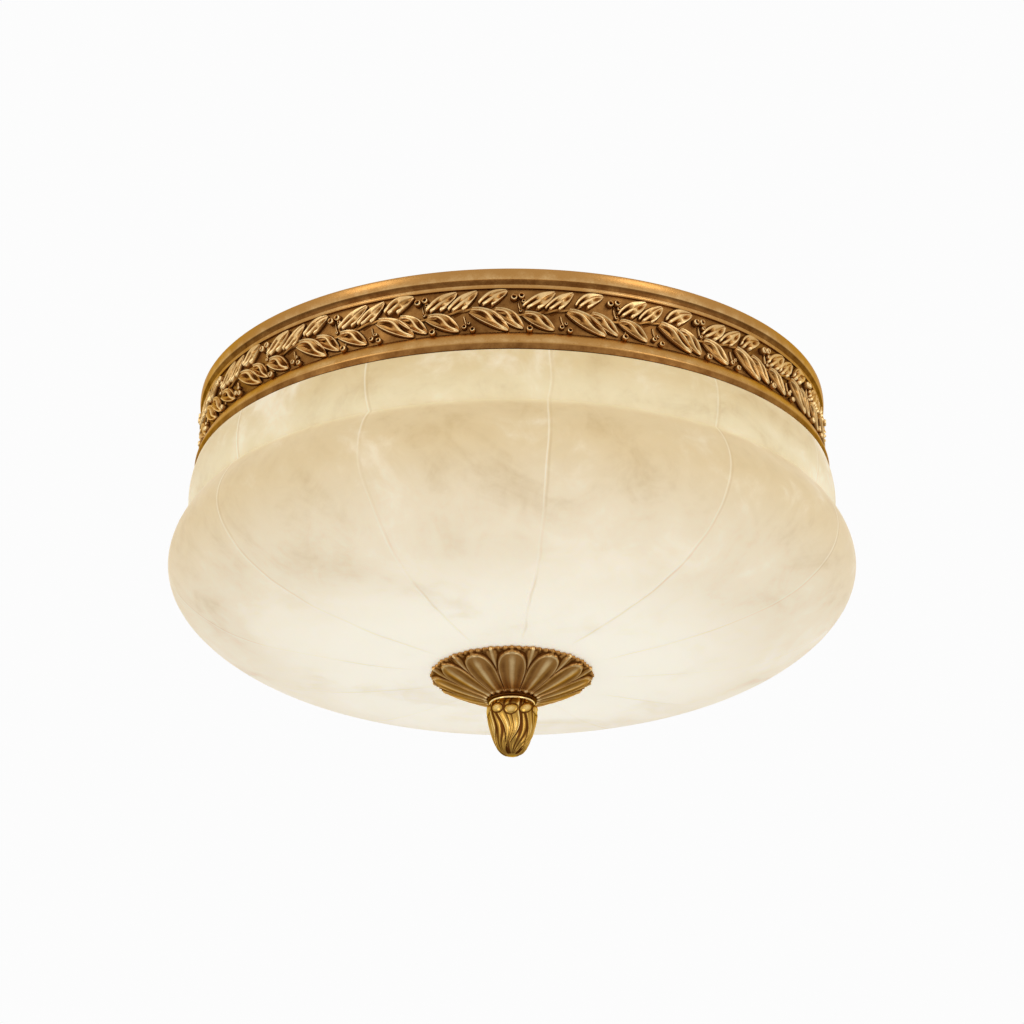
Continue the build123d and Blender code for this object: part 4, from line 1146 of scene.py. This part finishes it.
class LIGHT_OT_stage(bpy.types.Operator):
    """Camera at the photograph's place, soft lights, a white surround and a pale floor"""
    bl_idname = "ceiling_light.stage"
    bl_label = "Stage"

    def execute(self, context):
        scene = context.scene
        size = scene.light_stage
        scene.view_settings.view_transform = "Standard"

        lens = bpy.data.cameras.new("camera")
        lens.sensor_width = 36.0
        lens.lens = size.focal_length
        lens.clip_start = 0.05
        lens.clip_end = 20.0
        camera = bpy.data.objects.new("camera", lens)
        camera.location = (0.0, -size.camera_distance, -size.camera_drop)
        camera.rotation_euler = (math.pi / 2 + size.camera_pitch, 0.0, 0.0)
        scene.collection.objects.link(camera)
        scene.camera = camera

        for name, place, aim, width, tall, power in (
                ("upper left soft box", (-1.3, -1.1, 0.9), (0.0, 0.0, -0.05), 0.5, 0.5, 2.7),
                ("upper right soft box", (1.2, -1.2, 0.9), (0.0, 0.0, -0.05), 0.5, 0.5, 3.1),
                ("left soft box", (-1.5, -1.2, -0.6), (0.0, 0.0, -0.1), 0.7, 0.9, 4.0),
                ("right soft box", (1.5, -1.3, -0.7), (0.0, 0.0, -0.1), 0.7, 0.9, 5.0),
                ("low soft box", (0.0, -0.9, -1.7), (0.0, 0.0, -0.15), 1.2, 0.9, 3.0)):
            lamp = bpy.data.lights.new(name, "AREA")
            lamp.shape = "RECTANGLE"
            lamp.size, lamp.size_y = width, tall
            lamp.energy = power
            lamp.color = (1.0, 0.985, 0.96)
            made = bpy.data.objects.new(name, lamp)
            towards = np.array(aim) - np.array(place)
            flat = math.hypot(towards[0], towards[1])
            made.location = place
            made.rotation_euler = (
                math.pi / 2 + math.atan2(towards[2], flat), 0.0,
                math.atan2(towards[1], towards[0]) - math.pi / 2)
            scene.collection.objects.link(made)

        world = bpy.data.worlds.new("surround")
        scene.world = world
        world.use_nodes = True
        graph = Graph(world.node_tree)
        rays = graph.node("ShaderNodeLightPath").outputs
        seen = Value(graph, rays["Is Camera Ray"])
        for kind in ("Is Glossy Ray", "Is Transmission Ray"):
            seen = seen.maths("MAXIMUM", rays[kind])
        unseen_light, seen_light = (
            graph.node("ShaderNodeBackground", None, {
                "Color": (shade, shade, shade, 1.0), "Strength": strength}).outputs[0]
            for shade, strength in ((1.0, size.ambient), (size.surround, 1.0)))
        blend = graph.node("ShaderNodeMixShader", None, {0: seen, 1: unseen_light, 2: seen_light})
        graph.node("ShaderNodeOutputWorld", None, {0: blend.outputs[0]})

        half = 6.0
        floor_mesh = bpy.data.meshes.new("floor")
        corners = [(-half, -half), (half, -half), (half, half), (-half, half)]
        floor_mesh.from_pydata([(x, y, -size.room_height) for x, y in corners], [], [(0, 1, 2, 3)])
        floor_mesh.materials.append(moulded("pale floor", (0.82, 0.82, 0.82), 0.6, 60.0, 0.0002))
        floor = bpy.data.objects.new("floor", floor_mesh)
        scene.collection.objects.link(floor)
        return {"FINISHED"}


class LIGHT_PT_panel(bpy.types.Panel):
    """Lists the pieces of the ceiling light"""
    bl_idname = "LIGHT_PT_panel"
    bl_label = "Ceiling light"
    bl_space_type = "VIEW_3D"
    bl_region_type = "UI"
    bl_category = "Ceiling light"

    def draw(self, context):
        for operator in OPERATORS:
            self.layout.operator(operator.bl_idname)


OPERATORS = [
    LIGHT_OT_band, LIGHT_OT_frieze, LIGHT_OT_bowl, LIGHT_OT_rosette, LIGHT_OT_rings,
    LIGHT_OT_finial, LIGHT_OT_inner, LIGHT_OT_stage,
]
SETTINGS = {
    "light_band": BandSettings,
    "light_frieze": FriezeSettings,
    "light_bowl": BowlSettings,
    "light_rosette": RosetteSettings,
    "light_finial": FinialSettings,
    "light_finish": FinishSettings,
    "light_stage": StageSettings,
}


def register():
    for group in (*SETTINGS.values(), *OPERATORS, LIGHT_PT_panel):
        bpy.utils.register_class(group)
    for name, group in SETTINGS.items():
        setattr(bpy.types.Scene, name, bpy.props.PointerProperty(type=group))


def unregister():
    for name in SETTINGS:
        delattr(bpy.types.Scene, name)
    for group in (*SETTINGS.values(), *OPERATORS, LIGHT_PT_panel):
        bpy.utils.unregister_class(group)


def main():
    register()
    for operator in OPERATORS:
        category, name = operator.bl_idname.split(".")
        getattr(getattr(bpy.ops, category), name)()


if __name__ == "__main__":
    main()
